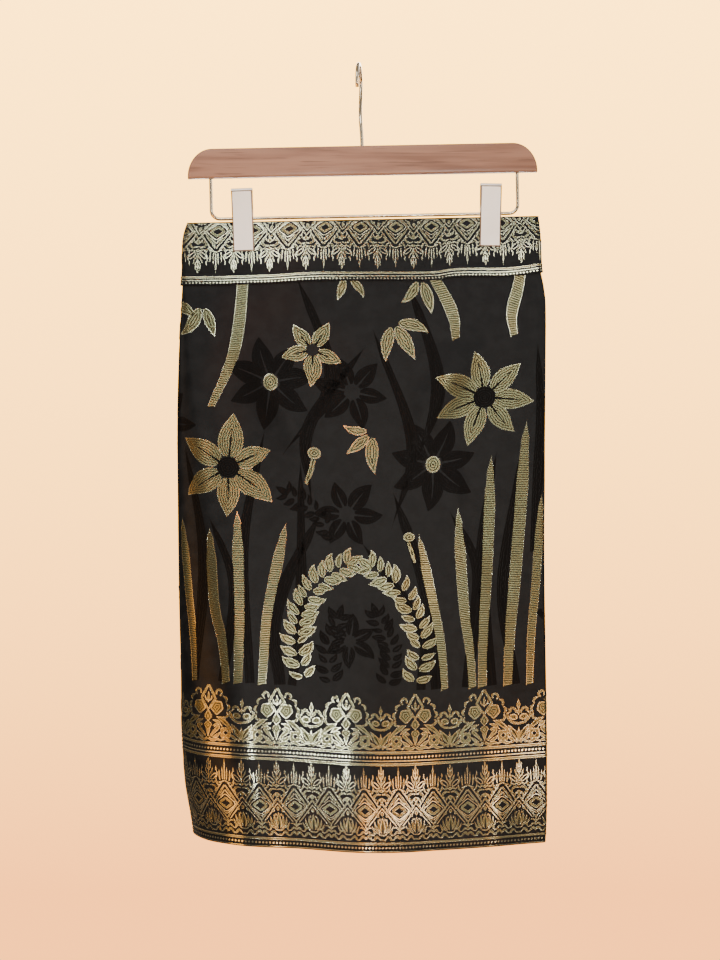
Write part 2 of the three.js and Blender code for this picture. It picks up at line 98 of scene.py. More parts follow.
def buildStudio():
    world = bpy.data.worlds.new("studioWorld")
    world.use_nodes = True
    tree = world.node_tree
    seen = tree.nodes["Background"]
    lit = tree.nodes.new("ShaderNodeBackground")  # the room's own light: pale above, dim and warm below
    height = tree.nodes.new("ShaderNodeSeparateXYZ")
    tree.links.new(tree.nodes.new("ShaderNodeTexCoord").outputs["Generated"], height.inputs[0])
    shift = tree.nodes.new("ShaderNodeMapRange")
    shift.inputs["From Min"].default_value, shift.inputs["From Max"].default_value = studio["heights"]
    tree.links.new(height.outputs["Z"], shift.inputs["Value"])
    colourRamp(tree, shift.outputs["Result"], studio["background"], seen)
    colourRamp(tree, shift.outputs["Result"], studio["room"], lit)
    both = tree.nodes.new("ShaderNodeMixShader")
    tree.links.new(tree.nodes.new("ShaderNodeLightPath").outputs["Is Camera Ray"], both.inputs["Fac"])
    tree.links.new(lit.outputs[0], both.inputs[1])
    tree.links.new(seen.outputs[0], both.inputs[2])
    tree.links.new(both.outputs[0], tree.nodes["World Output"].inputs["Surface"])
    bpy.context.scene.world = world
    for name, place, aim, size, power, colour in studio["lights"]:
        data = bpy.data.lights.new(name, "AREA")
        data.shape, data.size, data.size_y = "RECTANGLE", *size
        data.energy, data.color = power, colour
        lamp = bpy.data.objects.new(name, data)
        lamp.location = place
        toward = [a - p for a, p in zip(aim, place)]
        lamp.rotation_euler = Vector(toward).to_track_quat("-Z", "Y").to_euler()
        bpy.context.scene.collection.objects.link(lamp)
    deselectAll()
    bpy.ops.mesh.primitive_plane_add(size=studio["floorSize"], location=(0, 0, studio["floorLevel"]))
    floor = bpy.context.object
    floor.name = "studioFloor"
    paint = bpy.data.materials.new("floorPaint")
    paint.use_nodes = True
    shader = paint.node_tree.nodes["Principled BSDF"]
    shader.inputs["Base Color"].default_value = studio["floorTone"]
    shader.inputs["Roughness"].default_value = studio["floorRoughness"]
    floor.data.materials.append(paint)


buildStudio()
print("studio ready")

# The cloth tube's form: its outline at each height, its hem, the waistband's lower edge and its folds
tube = {
    "wall": 0.9, "creaseRadius": 2, "rounding": 0.55, "bandClearance": 4.2, "tuckedEdge": 1.5,
    "rows": 122, "span": 2.9, "halfRound": 372, "girth": 763.4, "extraFolds": 30, "weaveRow": 5.3,
}
band = {"gap": 0.45, "wall": 1.2, "rows": 20, "flare": 0.55, "girth": 724.0}
hanger = {"tilt": math.radians(1.13), "footX": 3.1, "footZ": -83, "barHeight": 30, "rodDrop": 42}

levels = np.array([  # z, left, right, front, back, edge, frontTurn, backTurn
    (-158, -174.8, 184.0, 2, 2, 0, 2, 2), (-178, -180.2, 186.0, 2, 2, 0, 2, 2),
    (-212, -181.4, 187.6, 2, 2, 0, 2, 2), (-226, -182.2, 190.4, 2.3, 2.2, 0, 2.6, 2.3),
    (-245, -183.2, 192.6, 3, 2.6, 0, 4, 3), (-300, -186.0, 192.6, 5, 4, 0.5, 12, 6),
    (-370, -187.6, 192.0, 7, 6, 2, 24, 9), (-450, -187.2, 191.2, 10, 9, 4, 38, 12),
    (-530, -186.6, 191.4, 14, 14, 8, 52, 15), (-610, -185.4, 192.6, 19, 20, 13, 65, 18),
    (-680, -184.6, 193.6, 24, 27, 19, 76, 21), (-740, -181.0, 193.9, 28, 33, 24, 83, 24),
    (-780, -174.8, 193.4, 30, 37, 28, 87, 26), (-808, -171.4, 191.8, 31, 39, 30, 88, 27),
], float)
hemLine = np.array([  # share of the way round, z
    (0, -800), (0.08, -803.5), (0.14, -806.5), (0.2, -808), (0.26, -806.5), (0.34, -801.8), (0.42, -798.2),
    (0.46, -797), (0.5, -794.5), (0.62, -792), (0.82, -796), (1, -800),
], float)
bandLine = np.array([
    (0, -212.5), (0.03, -215.6), (0.055, -217.2), (0.12, -217.6), (0.15, -220.7), (0.24, -221.2),
    (0.32, -221.6), (0.38, -224.3), (0.5, -226.1), (0.75, -221), (1, -212.5),
], float)
folds = [  # place, slant, width, rise, from, to
    (58, 0.02, 24, 3.2, -560, -900), (118, -0.03, 26, -3, -600, -900), (196, 0.05, 30, 3.6, -480, -900),
    (262, 0.02, 24, -2.6, -600, -900), (315, 0.06, 22, 2.6, -540, -900), (452, -0.05, 30, 3.4, -520, -900),
    (532, 0.04, 30, -3.2, -560, -900), (612, 0.03, 28, 3.8, -470, -900), (690, -0.02, 26, -2.4, -600, -900),
    (150, -0.42, 20, 2.2, -250, -430), (232, 0.46, 22, 2, -250, -440), (585, -0.4, 24, 2.2, -250, -450),
]


def softFolds():  # small creases of uneven length, depth and spacing, all round
    draw = random.Random(41)
    made = []
    for k in range(tube["extraFolds"]):
        place = (k + draw.uniform(0.15, 0.85)) * tube["girth"] / tube["extraFolds"]
        top = draw.uniform(-300, -620)
        made.append((
            place, draw.uniform(-0.3, 0.3), draw.uniform(7, 15),
            draw.choice((-1, 1)) * draw.uniform(0.15, 0.6), top, top - draw.uniform(70, 200),
        ))
    return made


allFolds = folds + softFolds()


def smoothRows(rows, at):  # smooth values between a table's rows, ordered by its first column
    key = rows[:, 0]
    sign = 1 if key[1] > key[0] else -1
    at = np.asarray(at, float)
    i = np.clip(np.searchsorted(key * sign, at * sign, side="right") - 1, 0, len(key) - 2)
    span = key[i + 1] - key[i]
    t = np.clip((at - key[i]) / span, 0, 1)[:, None]
    before, after = np.maximum(i - 1, 0), np.minimum(i + 2, len(key) - 1)
    slopeIn = (rows[i + 1] - rows[before]) / (key[i + 1] - key[before])[:, None]
    slopeOut = (rows[after] - rows[i]) / (key[after] - key[i])[:, None]
    ease = t * t * (3 - 2 * t)
    rise = (slopeIn * (1 - t) - slopeOut * t) * t * (1 - t) * span[:, None]
    return rows[i] * (1 - ease) + rows[i + 1] * ease + rise


def bend(a, b, c, d, steps):  # a Bezier curve's points after its first
    t = np.linspace(0, 1, steps + 1)[1:, None]
    return a * (1 - t) ** 3 + 3 * b * t * (1 - t) ** 2 + 3 * c * t * t * (1 - t) + d * t ** 3


def outlineAt(row):  # the tube's outline at one height, from the crease over the front and round the back
    _, left, right, front, back, edge, frontTurn, backTurn = row
    r, k = tube["creaseRadius"], tube["rounding"]
    crease, leftEdge = np.array((right, 0.0)), np.array((left, edge))
    frontStart, frontEnd = np.array((right - r, -r)), np.array((left + frontTurn, -front))
    backStart, backEnd = np.array((left + backTurn, back)), np.array((right - r, r))

    def along(a, b, far):
        return a + (b - a) * far / np.linalg.norm(b - a)

    def straight(a, b, steps):
        return a + (b - a) * np.linspace(0, 1, steps + 1)[1:, None]

    handle = [np.array((left, edge + (y - edge) * k)) for y in (-front, back)]
    frontPart = np.vstack([
        crease, bend(crease, np.array((right, -r * k)), along(frontStart, frontEnd, -r * k), frontStart, 24),
        straight(frontStart, frontEnd, 60),
        bend(frontEnd, along(frontEnd, frontStart, -frontTurn * k), handle[0], leftEdge, 70),
    ])
    backPart = np.vstack([
        bend(leftEdge, handle[1], along(backStart, backEnd, -backTurn * k), backStart, 60),
        straight(backStart, backEnd, 60),
        bend(backEnd, along(backEnd, backStart, -r * k), np.array((right, r * k)), crease, 24),
    ])
    points = np.vstack([frontPart, backPart])
    lengths = np.concatenate([[0], np.cumsum(np.linalg.norm(np.diff(points, axis=0), axis=1))])
    return points, lengths, lengths[len(frontPart) - 1]


def columnPlaces():  # places round the tube from 0 to 1, half at the left edge, close together at both folds
    near = np.array([0, 0.35, 0.7, 1.1, 1.5, 1.9, 2.4, 3.0, 3.8, 5.0, 6.8, 9.2]) / tube["halfRound"]
    count = int(tube["halfRound"] / tube["span"])
    half = np.concatenate([near, np.linspace(near[-1], 1 - near[-1], count)[1:-1], 1 - near[::-1]]) / 2
    return np.concatenate([half, 0.5 + half[1:]])


columns = columnPlaces()
heights = np.arange(-150, -816, -4.0)


def outlineTables():
    rows = smoothRows(levels, heights)
    places, outward, lefts, totals = [], [], [], []
    for row in rows:
        points, lengths, leftLength = outlineAt(row)
        total = lengths[-1]
        around = np.where(columns <= 0.5, columns * 2 * leftLength,
                          leftLength + (columns - 0.5) * 2 * (total - leftLength))
        run = np.vstack([points[1:], points[1:2]]) - np.vstack([points[-2:-1], points[:-1]])
        run /= np.linalg.norm(run, axis=1)[:, None]
        side = np.stack([-run[:, 1], run[:, 0]], axis=1)
        places.append(np.stack([np.interp(around, lengths, points[:, k]) for k in (0, 1)], axis=1))
        outward.append(np.stack([np.interp(around, lengths, side[:, k]) for k in (0, 1)], axis=1))
        lefts.append(leftLength)
        totals.append(total)
    return np.array(places), np.array(outward), np.array(lefts), np.array(totals)


outlinePlaces, outlineOut, leftLengths, totalLengths = outlineTables()


def foldRise(length, z):
    rise = np.zeros_like(length)
    for place, slant, width, height, start, end in allFolds:
        depth = np.clip((start - z) / (start - end), 0, 1)
        full = depth * depth * (3 - 2 * depth) if end < -810 else np.sin(math.pi * depth) ** 2
        middle = place + slant * (z - max(end, -800))
        rise += height * full * np.exp(-(((length - middle) / width) ** 2))
    return rise


def clothGrid(lowLine, rowCount):  # points and directions of a cloth surface, lowest row first
    grids = []
    for part in np.linspace(0, 1, rowCount):
        z = np.full(len(columns), -500.0)
        for _ in range(4):
            level = np.clip((z - heights[0]) / (heights[1] - heights[0]), 0, len(heights) - 1.001)
            i, t = level.astype(int), (level % 1)
            left = leftLengths[i] * (1 - t) + leftLengths[i + 1] * t
            total = totalLengths[i] * (1 - t) + totalLengths[i + 1] * t
            length = np.where(columns <= 0.5, columns * 2 * left, left + (columns - 0.5) * 2 * (total - left))
            share = length / total
            at = np.arange(len(columns))
            flat = outlinePlaces[i, at] * (1 - t)[:, None] + outlinePlaces[i + 1, at] * t[:, None]
            side = outlineOut[i, at] * (1 - t)[:, None] + outlineOut[i + 1, at] * t[:, None]
            rodMiddle = hanger["footZ"] - hanger["barHeight"] - hanger["rodDrop"]
            top = (rodMiddle + (flat[:, 0] - hanger["footX"]) * math.tan(hanger["tilt"])
                   - tube["bandClearance"])
            low = smoothRows(lowLine, share)[:, 1]
            z = low + (top - low) * part
        side = side / np.linalg.norm(side, axis=1)[:, None]
        flat = flat + side * foldRise(length, z)[:, None]
        grids.append((np.column_stack([flat, z]), np.column_stack([side, np.zeros(len(side))]), left / total,
                      top - low, share))
    points, out, leftShare, tall, shares = (np.array(g) for g in zip(*grids))
    across = np.gradient(points, axis=1)
    across[:, 0] = across[:, -1] = points[:, 1] - points[:, -2]
    normal = np.cross(across, np.gradient(points, axis=0))
    normal /= np.linalg.norm(normal, axis=2)[:, :, None]
    normal *= np.sign((normal * out).sum(axis=2))[:, :, None]
    return {"points": points, "out": normal, "leftShare": leftShare[:, len(columns) // 2],
            "tall": tall[0], "share": shares[0]}


# Places and directions on a cloth surface, from a place round it, a height up it and a lift out of it
def onCloth(grid, share, height, lift):
    share = np.mod(share, 1)
    rowCount = len(grid["points"])
    tall = np.interp(share, grid["share"], grid["tall"])
    row = np.clip(height / tall, 0, 1) * (rowCount - 1)
    left = np.interp(row, np.arange(rowCount), grid["leftShare"])
    column = np.where(share <= left, 0.5 * share / left, 0.5 + 0.5 * (share - left) / (1 - left))
    place = np.interp(column, columns, np.arange(len(columns)))
    i, j = np.minimum(row.astype(int), rowCount - 2), np.minimum(place.astype(int), len(columns) - 2)
    u, v = (row - i)[:, None], (place - j)[:, None]

    def between(table):
        low = table[i, j] * (1 - v) + table[i, j + 1] * v
        high = table[i + 1, j] * (1 - v) + table[i + 1, j + 1] * v
        return low * (1 - u) + high * u

    out = between(grid["out"])
    places = between(grid["points"]) + out * np.asarray(lift)[:, None]
    return places, out / np.linalg.norm(out, axis=1)[:, None]


tubeGrid = clothGrid(hemLine, tube["rows"])
bandGrid = clothGrid(bandLine, band["rows"])
print("cloth surfaces laid out")


# Shader node groups that several finishes share
def nodeGroup(name, inputs, outputs):
    group = bpy.data.node_groups.new(name, "ShaderNodeTree")
    for label, kind, value in inputs:
        made = group.interface.new_socket(label, in_out="INPUT", socket_type=kind)
        if value is not None:
            made.default_value = value
    for label, kind in outputs:
        group.interface.new_socket(label, in_out="OUTPUT", socket_type=kind)
    return group, group.nodes.new("NodeGroupInput"), group.nodes.new("NodeGroupOutput")


def node(tree, kind, values=None, **settings):
    made = tree.nodes.new(kind)
    for key, value in settings.items():
        setattr(made, key, value)
    for key, value in (values or {}).items():
        if isinstance(value, bpy.types.NodeSocket):
            tree.links.new(value, made.inputs[key])
        else:
            made.inputs[key].default_value = value
    return made


def maths(tree, operation, *values):
    return node(tree, "ShaderNodeMath", dict(enumerate(values)), operation=operation).outputs[0]


def smoothStep(tree, value, low, high):
    made = node(tree, "ShaderNodeMapRange", {"Value": value, "From Min": low, "From Max": high},
                interpolation_type="SMOOTHSTEP")
    return made.outputs["Result"]


def threadRowsGroup():  # dark lines between rows of metallic thread, and a motif's rim, where the finishes paint a highlight
    group, given, out = nodeGroup(
        "threadRows",
        [("Phase", "NodeSocketFloat", 0), ("Rim", "NodeSocketFloat", 0), ("Pitch", "NodeSocketFloat", 2.3),
         ("RimWidth", "NodeSocketFloat", 0.7)],
        [("Line", "NodeSocketFloat"), ("Edge", "NodeSocketFloat"), ("Height", "NodeSocketFloat")],
    )
    turn = maths(group, "DIVIDE", given.outputs["Phase"], given.outputs["Pitch"])
    wave = maths(group, "COSINE", maths(group, "MULTIPLY", turn, 2 * math.pi))
    line = smoothStep(group, wave, 0.05, 0.8)
    edge = maths(group, "SUBTRACT", 1, smoothStep(
        group, maths(group, "DIVIDE", given.outputs["Rim"], given.outputs["RimWidth"]), 0.75, 1.25))
    inside = maths(group, "SUBTRACT", 1, edge)
    line = maths(group, "MULTIPLY", line, inside)
    group.links.new(line, out.inputs["Line"])
    group.links.new(edge, out.inputs["Edge"])
    group.links.new(maths(group, "SUBTRACT", edge, line), out.inputs["Height"])
    return group


def fineWeaveGroup():  # warp and weft threads of the ground, with slight unevenness
    group, given, out = nodeGroup(
        "fineWeave",
        [("Vector", "NodeSocketVector", None), ("ThreadsPerMetre", "NodeSocketFloat", 900)],
        [("Height", "NodeSocketFloat"), ("Slub", "NodeSocketFloat")],
    )
    apart = node(group, "ShaderNodeSeparateXYZ", {"Vector": given.outputs["Vector"]})
    u = maths(group, "MULTIPLY", apart.outputs["X"], given.outputs["ThreadsPerMetre"])
    v = maths(group, "MULTIPLY", apart.outputs["Y"], given.outputs["ThreadsPerMetre"])
    warp = maths(group, "SINE", maths(group, "MULTIPLY", u, math.pi))
    slanted = maths(group, "ADD", v, maths(group, "MULTIPLY", u, 0.25))
    weft = maths(group, "SINE", maths(group, "MULTIPLY", slanted, math.pi))
    slub = node(group, "ShaderNodeTexNoise", {"Vector": given.outputs["Vector"], "Scale": 60, "Detail": 3})
    group.links.new(maths(group, "MULTIPLY", warp, weft), out.inputs["Height"])
    group.links.new(slub.outputs["Fac"], out.inputs["Slub"])
    return group


def woodGrainGroup():
    group, given, out = nodeGroup(
        "woodGrain", [("Vector", "NodeSocketVector", None)],
        [("Grain", "NodeSocketFloat"), ("Pores", "NodeSocketFloat")],
    )
    long = node(group, "ShaderNodeMapping", {"Vector": given.outputs["Vector"], "Scale": (3.0, 60, 45)})
    rings = node(group, "ShaderNodeTexNoise", {"Vector": long.outputs[0], "Scale": 1.6, "Detail": 5,
                                               "Distortion": 0.6})
    thin = node(group, "ShaderNodeMapping", {"Vector": given.outputs["Vector"], "Scale": (22, 900, 700)})
    pores = node(group, "ShaderNodeTexNoise", {"Vector": thin.outputs[0], "Scale": 1.0, "Detail": 2})
    group.links.new(rings.outputs["Fac"], out.inputs["Grain"])
    group.links.new(smoothStep(group, pores.outputs["Fac"], 0.58, 0.72), out.inputs["Pores"])
    return group


def brushedGroup():
    group, given, out = nodeGroup(
        "brushedMetal",
        [("Vector", "NodeSocketVector", None), ("Stretch", "NodeSocketVector", (30, 30, 900))],
        [("Streaks", "NodeSocketFloat"), ("Smudge", "NodeSocketFloat")],
    )
    scaled = node(group, "ShaderNodeVectorMath", {0: given.outputs["Vector"], 1: given.outputs["Stretch"]},
                  operation="MULTIPLY")
    streaks = node(group, "ShaderNodeTexNoise", {"Vector": scaled.outputs[0], "Scale": 1, "Detail": 3})
    smudge = node(group, "ShaderNodeTexNoise", {"Vector": given.outputs["Vector"], "Scale": 22, "Detail": 2})
    group.links.new(streaks.outputs["Fac"], out.inputs["Streaks"])
    group.links.new(smudge.outputs["Fac"], out.inputs["Smudge"])
    return group


groups = {"threadRows": threadRowsGroup(), "fineWeave": fineWeaveGroup(), "woodGrain": woodGrainGroup(),
          "brushedMetal": brushedGroup()}


def groupNode(tree, name, values):
    return node(tree, "ShaderNodeGroup", values, node_tree=groups[name])


def colourMix(tree, factor, a, b):  # the colour sockets of a mix node are its last ones
    return node(tree, "ShaderNodeMix", {0: factor, 6: a, 7: b}, data_type="RGBA").outputs[2]


def tinted(tree, colour, mask, strength, tone):  # a colour with part of a tone laid over it by a mask
    return colourMix(tree, maths(tree, "MULTIPLY", mask, strength), colour, tone)


def noise(tree, vector, scale, detail):
    made = node(tree, "ShaderNodeTexNoise", {"Vector": vector, "Scale": scale, "Detail": detail})
    return made.outputs["Fac"]


def objectPlace(tree):
    return node(tree, "ShaderNodeTexCoord").outputs["Object"]


socketNames = {"sheen": "Sheen Weight", "specular": "Specular IOR Level", "coat": "Coat Weight",
               "coatRoughness": "Coat Roughness", "metallic": "Metallic", "roughness": "Roughness"}


def newFinish(name, **fixed):  # a material whose constant values are set on the shader itself
    made = bpy.data.materials.new(name)
    made.use_nodes = True
    tree = made.node_tree
    shader = tree.nodes["Principled BSDF"]
    for key, value in fixed.items():
        shader.inputs[socketNames[key]].default_value = value
    return made, tree, shader


def setRoughness(tree, shader, value, span, start=0):
    rough = node(tree, "ShaderNodeMapRange", {"Value": value, "From Min": start,
                                              "To Min": span[0], "To Max": span[1]})
    tree.links.new(rough.outputs["Result"], shader.inputs["Roughness"])


def addBump(tree, shader, height, strength, distance):
    bump = node(tree, "ShaderNodeBump", {"Height": height, "Strength": strength, "Distance": distance})
    tree.links.new(bump.outputs["Normal"], shader.inputs["Normal"])


finishes = {
    "ground": {"dark": (0.0041, 0.0053, 0.0066, 1), "light": (0.0076, 0.0092, 0.0110, 1),
               # the copper tone is a painted sheen: a warm reflection laid into the satin's colour
               "copper": (0.046, 0.017, 0.009, 1), "paintedSheenShare": 0.16,
               "threads": 1100, "rough": (0.26, 0.40)},
    # the edge tones of gold and black are painted rim highlights
    "gold": {"fill": (0.118, 0.124, 0.066, 1), "line": (0.010, 0.009, 0.004, 1),
             "edge": (0.44, 0.44, 0.33, 1), "warm": (0.19, 0.125, 0.040, 1),
             "pitch": 2.5, "rimWidth": 0.6, "rough": (0.34, 0.15)},
    "black": {"fill": (0.0010, 0.0010, 0.0011, 1), "line": (0.0040, 0.0039, 0.0041, 1),
              "edge": (0.0065, 0.0062, 0.0064, 1), "pitch": 2.4, "rimWidth": 0.6, "rough": (0.46, 0.26)},
    "reverse": {"dark": (0.012, 0.012, 0.012, 1), "light": (0.05, 0.042, 0.026, 1), "threads": 700},
    "wood": {"deep": (0.17, 0.074, 0.044, 1), "pale": (0.33, 0.172, 0.112, 1),
             "pore": (0.10, 0.042, 0.025, 1)},
    "wire": {"tone": (0.56, 0.49, 0.38, 1), "dull": (0.36, 0.29, 0.20, 1), "metallic": 1.0,
             "rough": (0.10, 0.24), "stretch": (40, 40, 40), "bump": 0.05},
    "plate": {"tone": (0.97, 0.93, 0.88, 1), "dull": (0.90, 0.85, 0.79, 1), "metallic": 0.3,
              "rough": (0.34, 0.48), "stretch": (900, 30, 30), "bump": 0.15},
    # painted shade for the clip plates' edges
    "plateEdgeShade": {"tone": (0.17, 0.11, 0.068, 1), "dull": (0.09, 0.055, 0.032, 1), "metallic": 1.0,
                  "rough": (0.30, 0.45), "stretch": (60, 60, 60), "bump": 0.05},
}


def attribute(tree, name):
    return node(tree, "ShaderNodeAttribute", attribute_name=name).outputs["Fac"]


def weaveMap(tree):
    return node(tree, "ShaderNodeUVMap", uv_map="weave").outputs["UV"]


def motifThreads(tree, look):
    return groupNode(tree, "threadRows", {"Phase": attribute(tree, "phase"), "Rim": attribute(tree, "rim"),
                                          "Pitch": look["pitch"], "RimWidth": look["rimWidth"]})


def groundFinish():
    made, tree, shader = newFinish("charcoalSatin", specular=0.09)
    look = finishes["ground"]
    weave = groupNode(tree, "fineWeave", {"Vector": weaveMap(tree), "ThreadsPerMetre": look["threads"]})
    soft = smoothStep(tree, weave.outputs["Slub"], 0.35, 0.7)
    colour = colourMix(tree, soft, look["dark"], look["light"])
    # painted copper sheen: noise patches of copper laid into the satin's colour, standing in for a warm
    # reflection
    paintedSheenPatch = smoothStep(tree, noise(tree, objectPlace(tree), 5.5, 1.5), 0.56, 0.74)
    colour = tinted(tree, colour, paintedSheenPatch, look["paintedSheenShare"], look["copper"])
    tree.links.new(colour, shader.inputs["Base Color"])
    setRoughness(tree, shader, weave.outputs["Slub"], look["rough"])
    addBump(tree, shader, weave.outputs["Height"], 0.2, 0.0001)
    return made


def reverseFinish():  # the inside of the cloth, with loose pattern threads lying across it
    made, tree, shader = newFinish("clothReverse", roughness=0.75, specular=0.3, sheen=0.2)
    look = finishes["reverse"]
    where = weaveMap(tree)
    weave = groupNode(tree, "fineWeave", {"Vector": where, "ThreadsPerMetre": look["threads"]})
    streak = node(tree, "ShaderNodeMapping", {"Vector": where, "Scale": (25, 900, 1)})
    threads = smoothStep(tree, noise(tree, streak.outputs[0], 1, 2), 0.5, 0.68)
    tree.links.new(colourMix(tree, threads, look["dark"], look["light"]), shader.inputs["Base Color"])
    addBump(tree, shader, weave.outputs["Height"], 0.5, 0.0002)
    return made


def goldFinish():
    made, tree, shader = newFinish("champagneThread", metallic=0.82, specular=0.5)
    look = finishes["gold"]
    rows = motifThreads(tree, look)
    where = objectPlace(tree)
    # warm patches: partly the threads' own uneven hue, partly a painted orange reflection of warm light
    warmToneAndSheen = smoothStep(tree, noise(tree, where, 9, 2), 0.45, 0.72)
    grain = smoothStep(tree, noise(tree, where, 1400, 1), 0.5, 0.75)
    fill = tinted(tree, look["fill"], warmToneAndSheen, 0.6, look["warm"])
    fill = tinted(tree, fill, grain, 0.35, look["line"])
    fill = tinted(tree, fill, rows.outputs["Line"], 0.9, look["line"])
    # painted highlight: a pale tone along every motif's rim, as if light caught the thread edges
    fill = tinted(tree, fill, rows.outputs["Edge"], 0.5, look["edge"])
    tree.links.new(fill, shader.inputs["Base Color"])
    setRoughness(tree, shader, rows.outputs["Height"], look["rough"], start=-1)
    addBump(tree, shader, rows.outputs["Height"], 0.5, 0.00012)
    return made


def blackFinish():
    made, tree, shader = newFinish("blackThread", specular=0.06)
    look = finishes["black"]
    rows = motifThreads(tree, look)
    colour = colourMix(tree, rows.outputs["Line"], look["fill"], look["line"])
    # painted highlight: a paler tone along the rim of each black motif
    colour = tinted(tree, colour, rows.outputs["Edge"], 0.5, look["edge"])
    tree.links.new(colour, shader.inputs["Base Color"])
    setRoughness(tree, shader, rows.outputs["Line"], look["rough"])
    addBump(tree, shader, rows.outputs["Height"], 0.5, 0.00014)
    return made


def woodFinish():
    made, tree, shader = newFinish("varnishedWood", roughness=0.4, coat=0.35, coatRoughness=0.18,
                                   specular=0.5)
    look = finishes["wood"]
    grain = groupNode(tree, "woodGrain", {"Vector": objectPlace(tree)})
    bands = smoothStep(tree, grain.outputs["Grain"], 0.32, 0.68)
    colour = colourMix(tree, bands, look["deep"], look["pale"])
    colour = tinted(tree, colour, grain.outputs["Pores"], 0.6, look["pore"])
    tree.links.new(colour, shader.inputs["Base Color"])
    addBump(tree, shader, grain.outputs["Grain"], 0.12, 0.0006)
    return made


def metalFinish(name, look):
    made, tree, shader = newFinish(name, metallic=look["metallic"], specular=0.5)
    brushed = groupNode(tree, "brushedMetal", {"Vector": objectPlace(tree), "Stretch": look["stretch"]})
    smudge = smoothStep(tree, brushed.outputs["Smudge"], 0.35, 0.75)
    tree.links.new(colourMix(tree, smudge, look["tone"], look["dull"]), shader.inputs["Base Color"])
    setRoughness(tree, shader, brushed.outputs["Streaks"], look["rough"])
    addBump(tree, shader, brushed.outputs["Streaks"], look["bump"], 0.0001)
    return made


made = {
    "ground": groundFinish(), "reverse": reverseFinish(), "gold": goldFinish(), "black": blackFinish(),
    "wood": woodFinish(), "wire": metalFinish("nickelWire", finishes["wire"]),
    "plate": metalFinish("brushedPlate", finishes["plate"]),
    "plateEdgeShade": metalFinish("plateEdgeShade", finishes["plateEdgeShade"]),
}
print("finishes ready")


# Cloth pieces
def meshObject(name, points, faces, materials, weave=None, floats=None, faceMaterials=None):
    mesh = bpy.data.meshes.new(name)
    mesh.from_pydata((np.asarray(points) * mm).tolist(), [], faces)
    for material in materials:
        mesh.materials.append(material)
    if weave is not None:
        layer = mesh.uv_layers.new(name="weave")
        corners = np.empty(len(mesh.loops), dtype=np.int32)
        mesh.loops.foreach_get("vertex_index", corners)
        layer.data.foreach_set("uv", np.asarray(weave, np.float32)[corners].ravel())
    for label, values in (floats or {}).items():
        mesh.attributes.new(label, "FLOAT", "POINT").data.foreach_set("value", np.asarray(values, np.float32))
    if faceMaterials is not None:
        mesh.polygons.foreach_set("material_index", faceMaterials)
    mesh.shade_smooth()
    mesh.update()
    obj = bpy.data.objects.new(name, mesh)
    bpy.context.scene.collection.objects.link(obj)
    return obj


# A closed wall of cloth. Its rows run up the outside, over the top edge, down the inside and round the lower
# edge, and profile gives how far each row stands out.
def clothShell(name, grid, wall, out, profile, topDrop):
    points, normal = grid["points"], grid["out"]
    rowCount, columnCount = points.shape[:2]
    wide, half = columnCount - 1, wall / 2
    rows, weave, inside = [], [], []
    topRow = points[-1] - np.array((0, 0, topDrop))
    roundCloth = grid["share"][:-1] * tube["girth"] * mm
    topWeave = rowCount * tube["weaveRow"]

    def addRow(place, direction, lift, drop, up, isInside):
        rows.append((place + direction * lift - np.array((0, 0, drop)))[:-1])
        weave.append(np.column_stack([roundCloth, np.full(wide, up * mm)]))
        inside.append(isInside)

    def addSide(order, depth, isInside):
        for k in order:
            place = topRow if k == rowCount - 1 else points[k]
            lift = profile(k / (rowCount - 1))
            addRow(place, normal[k], out + lift - depth, 0, k * tube["weaveRow"], isInside)

    def addEdge(place, direction, lift, angles, drop, up):
        for angle in angles:
            a = math.radians(angle)
            reach = out + lift - half + half * math.cos(a)
            addRow(place, direction, reach, drop * math.sin(a), up, angle > 90)

    addSide(range(rowCount), 0, False)
    addEdge(topRow, normal[-1], 0, (30, 90, 150), -half, topWeave)
    addSide(reversed(range(rowCount)), wall, True)
    addEdge(points[0], normal[0], profile(0.0), (150, 90, 30), half, 0)
    total = len(rows)
    i, j = np.meshgrid(np.arange(total), np.arange(wide), indexing="ij")
    a = i * wide + j
    b = i * wide + (j + 1) % wide
    c = ((i + 1) % total) * wide + (j + 1) % wide
    d = ((i + 1) % total) * wide + j
    faces = np.stack([a, d, c, b], axis=2).reshape(-1, 4)
    innerFace = np.repeat(np.array(inside, np.int32), wide)
    return meshObject(name, np.vstack(rows), faces.tolist(), [made["ground"], made["reverse"]],
                      weave=np.vstack(weave), faceMaterials=innerFace)


def tubeProfile(part):  # the tube keeps to its outline at every height
    return 0.0


def bandProfile(part):  # the band's lower edge stands a little off the tube, and its top edge rolls in
    return band["flare"] * np.exp(-part * 14) - 0.5 * np.exp(-(1 - part) * 16)


bandOut = band["gap"] + band["wall"]
tubeCloth = clothShell("tubeCloth", tubeGrid, tube["wall"], 0.0, tubeProfile, tube["tuckedEdge"])
waistbandCloth = clothShell("waistbandCloth", bandGrid, band["wall"], bandOut, bandProfile, 0.0)
print("cloth made", len(tubeCloth.data.polygons), len(waistbandCloth.data.polygons))


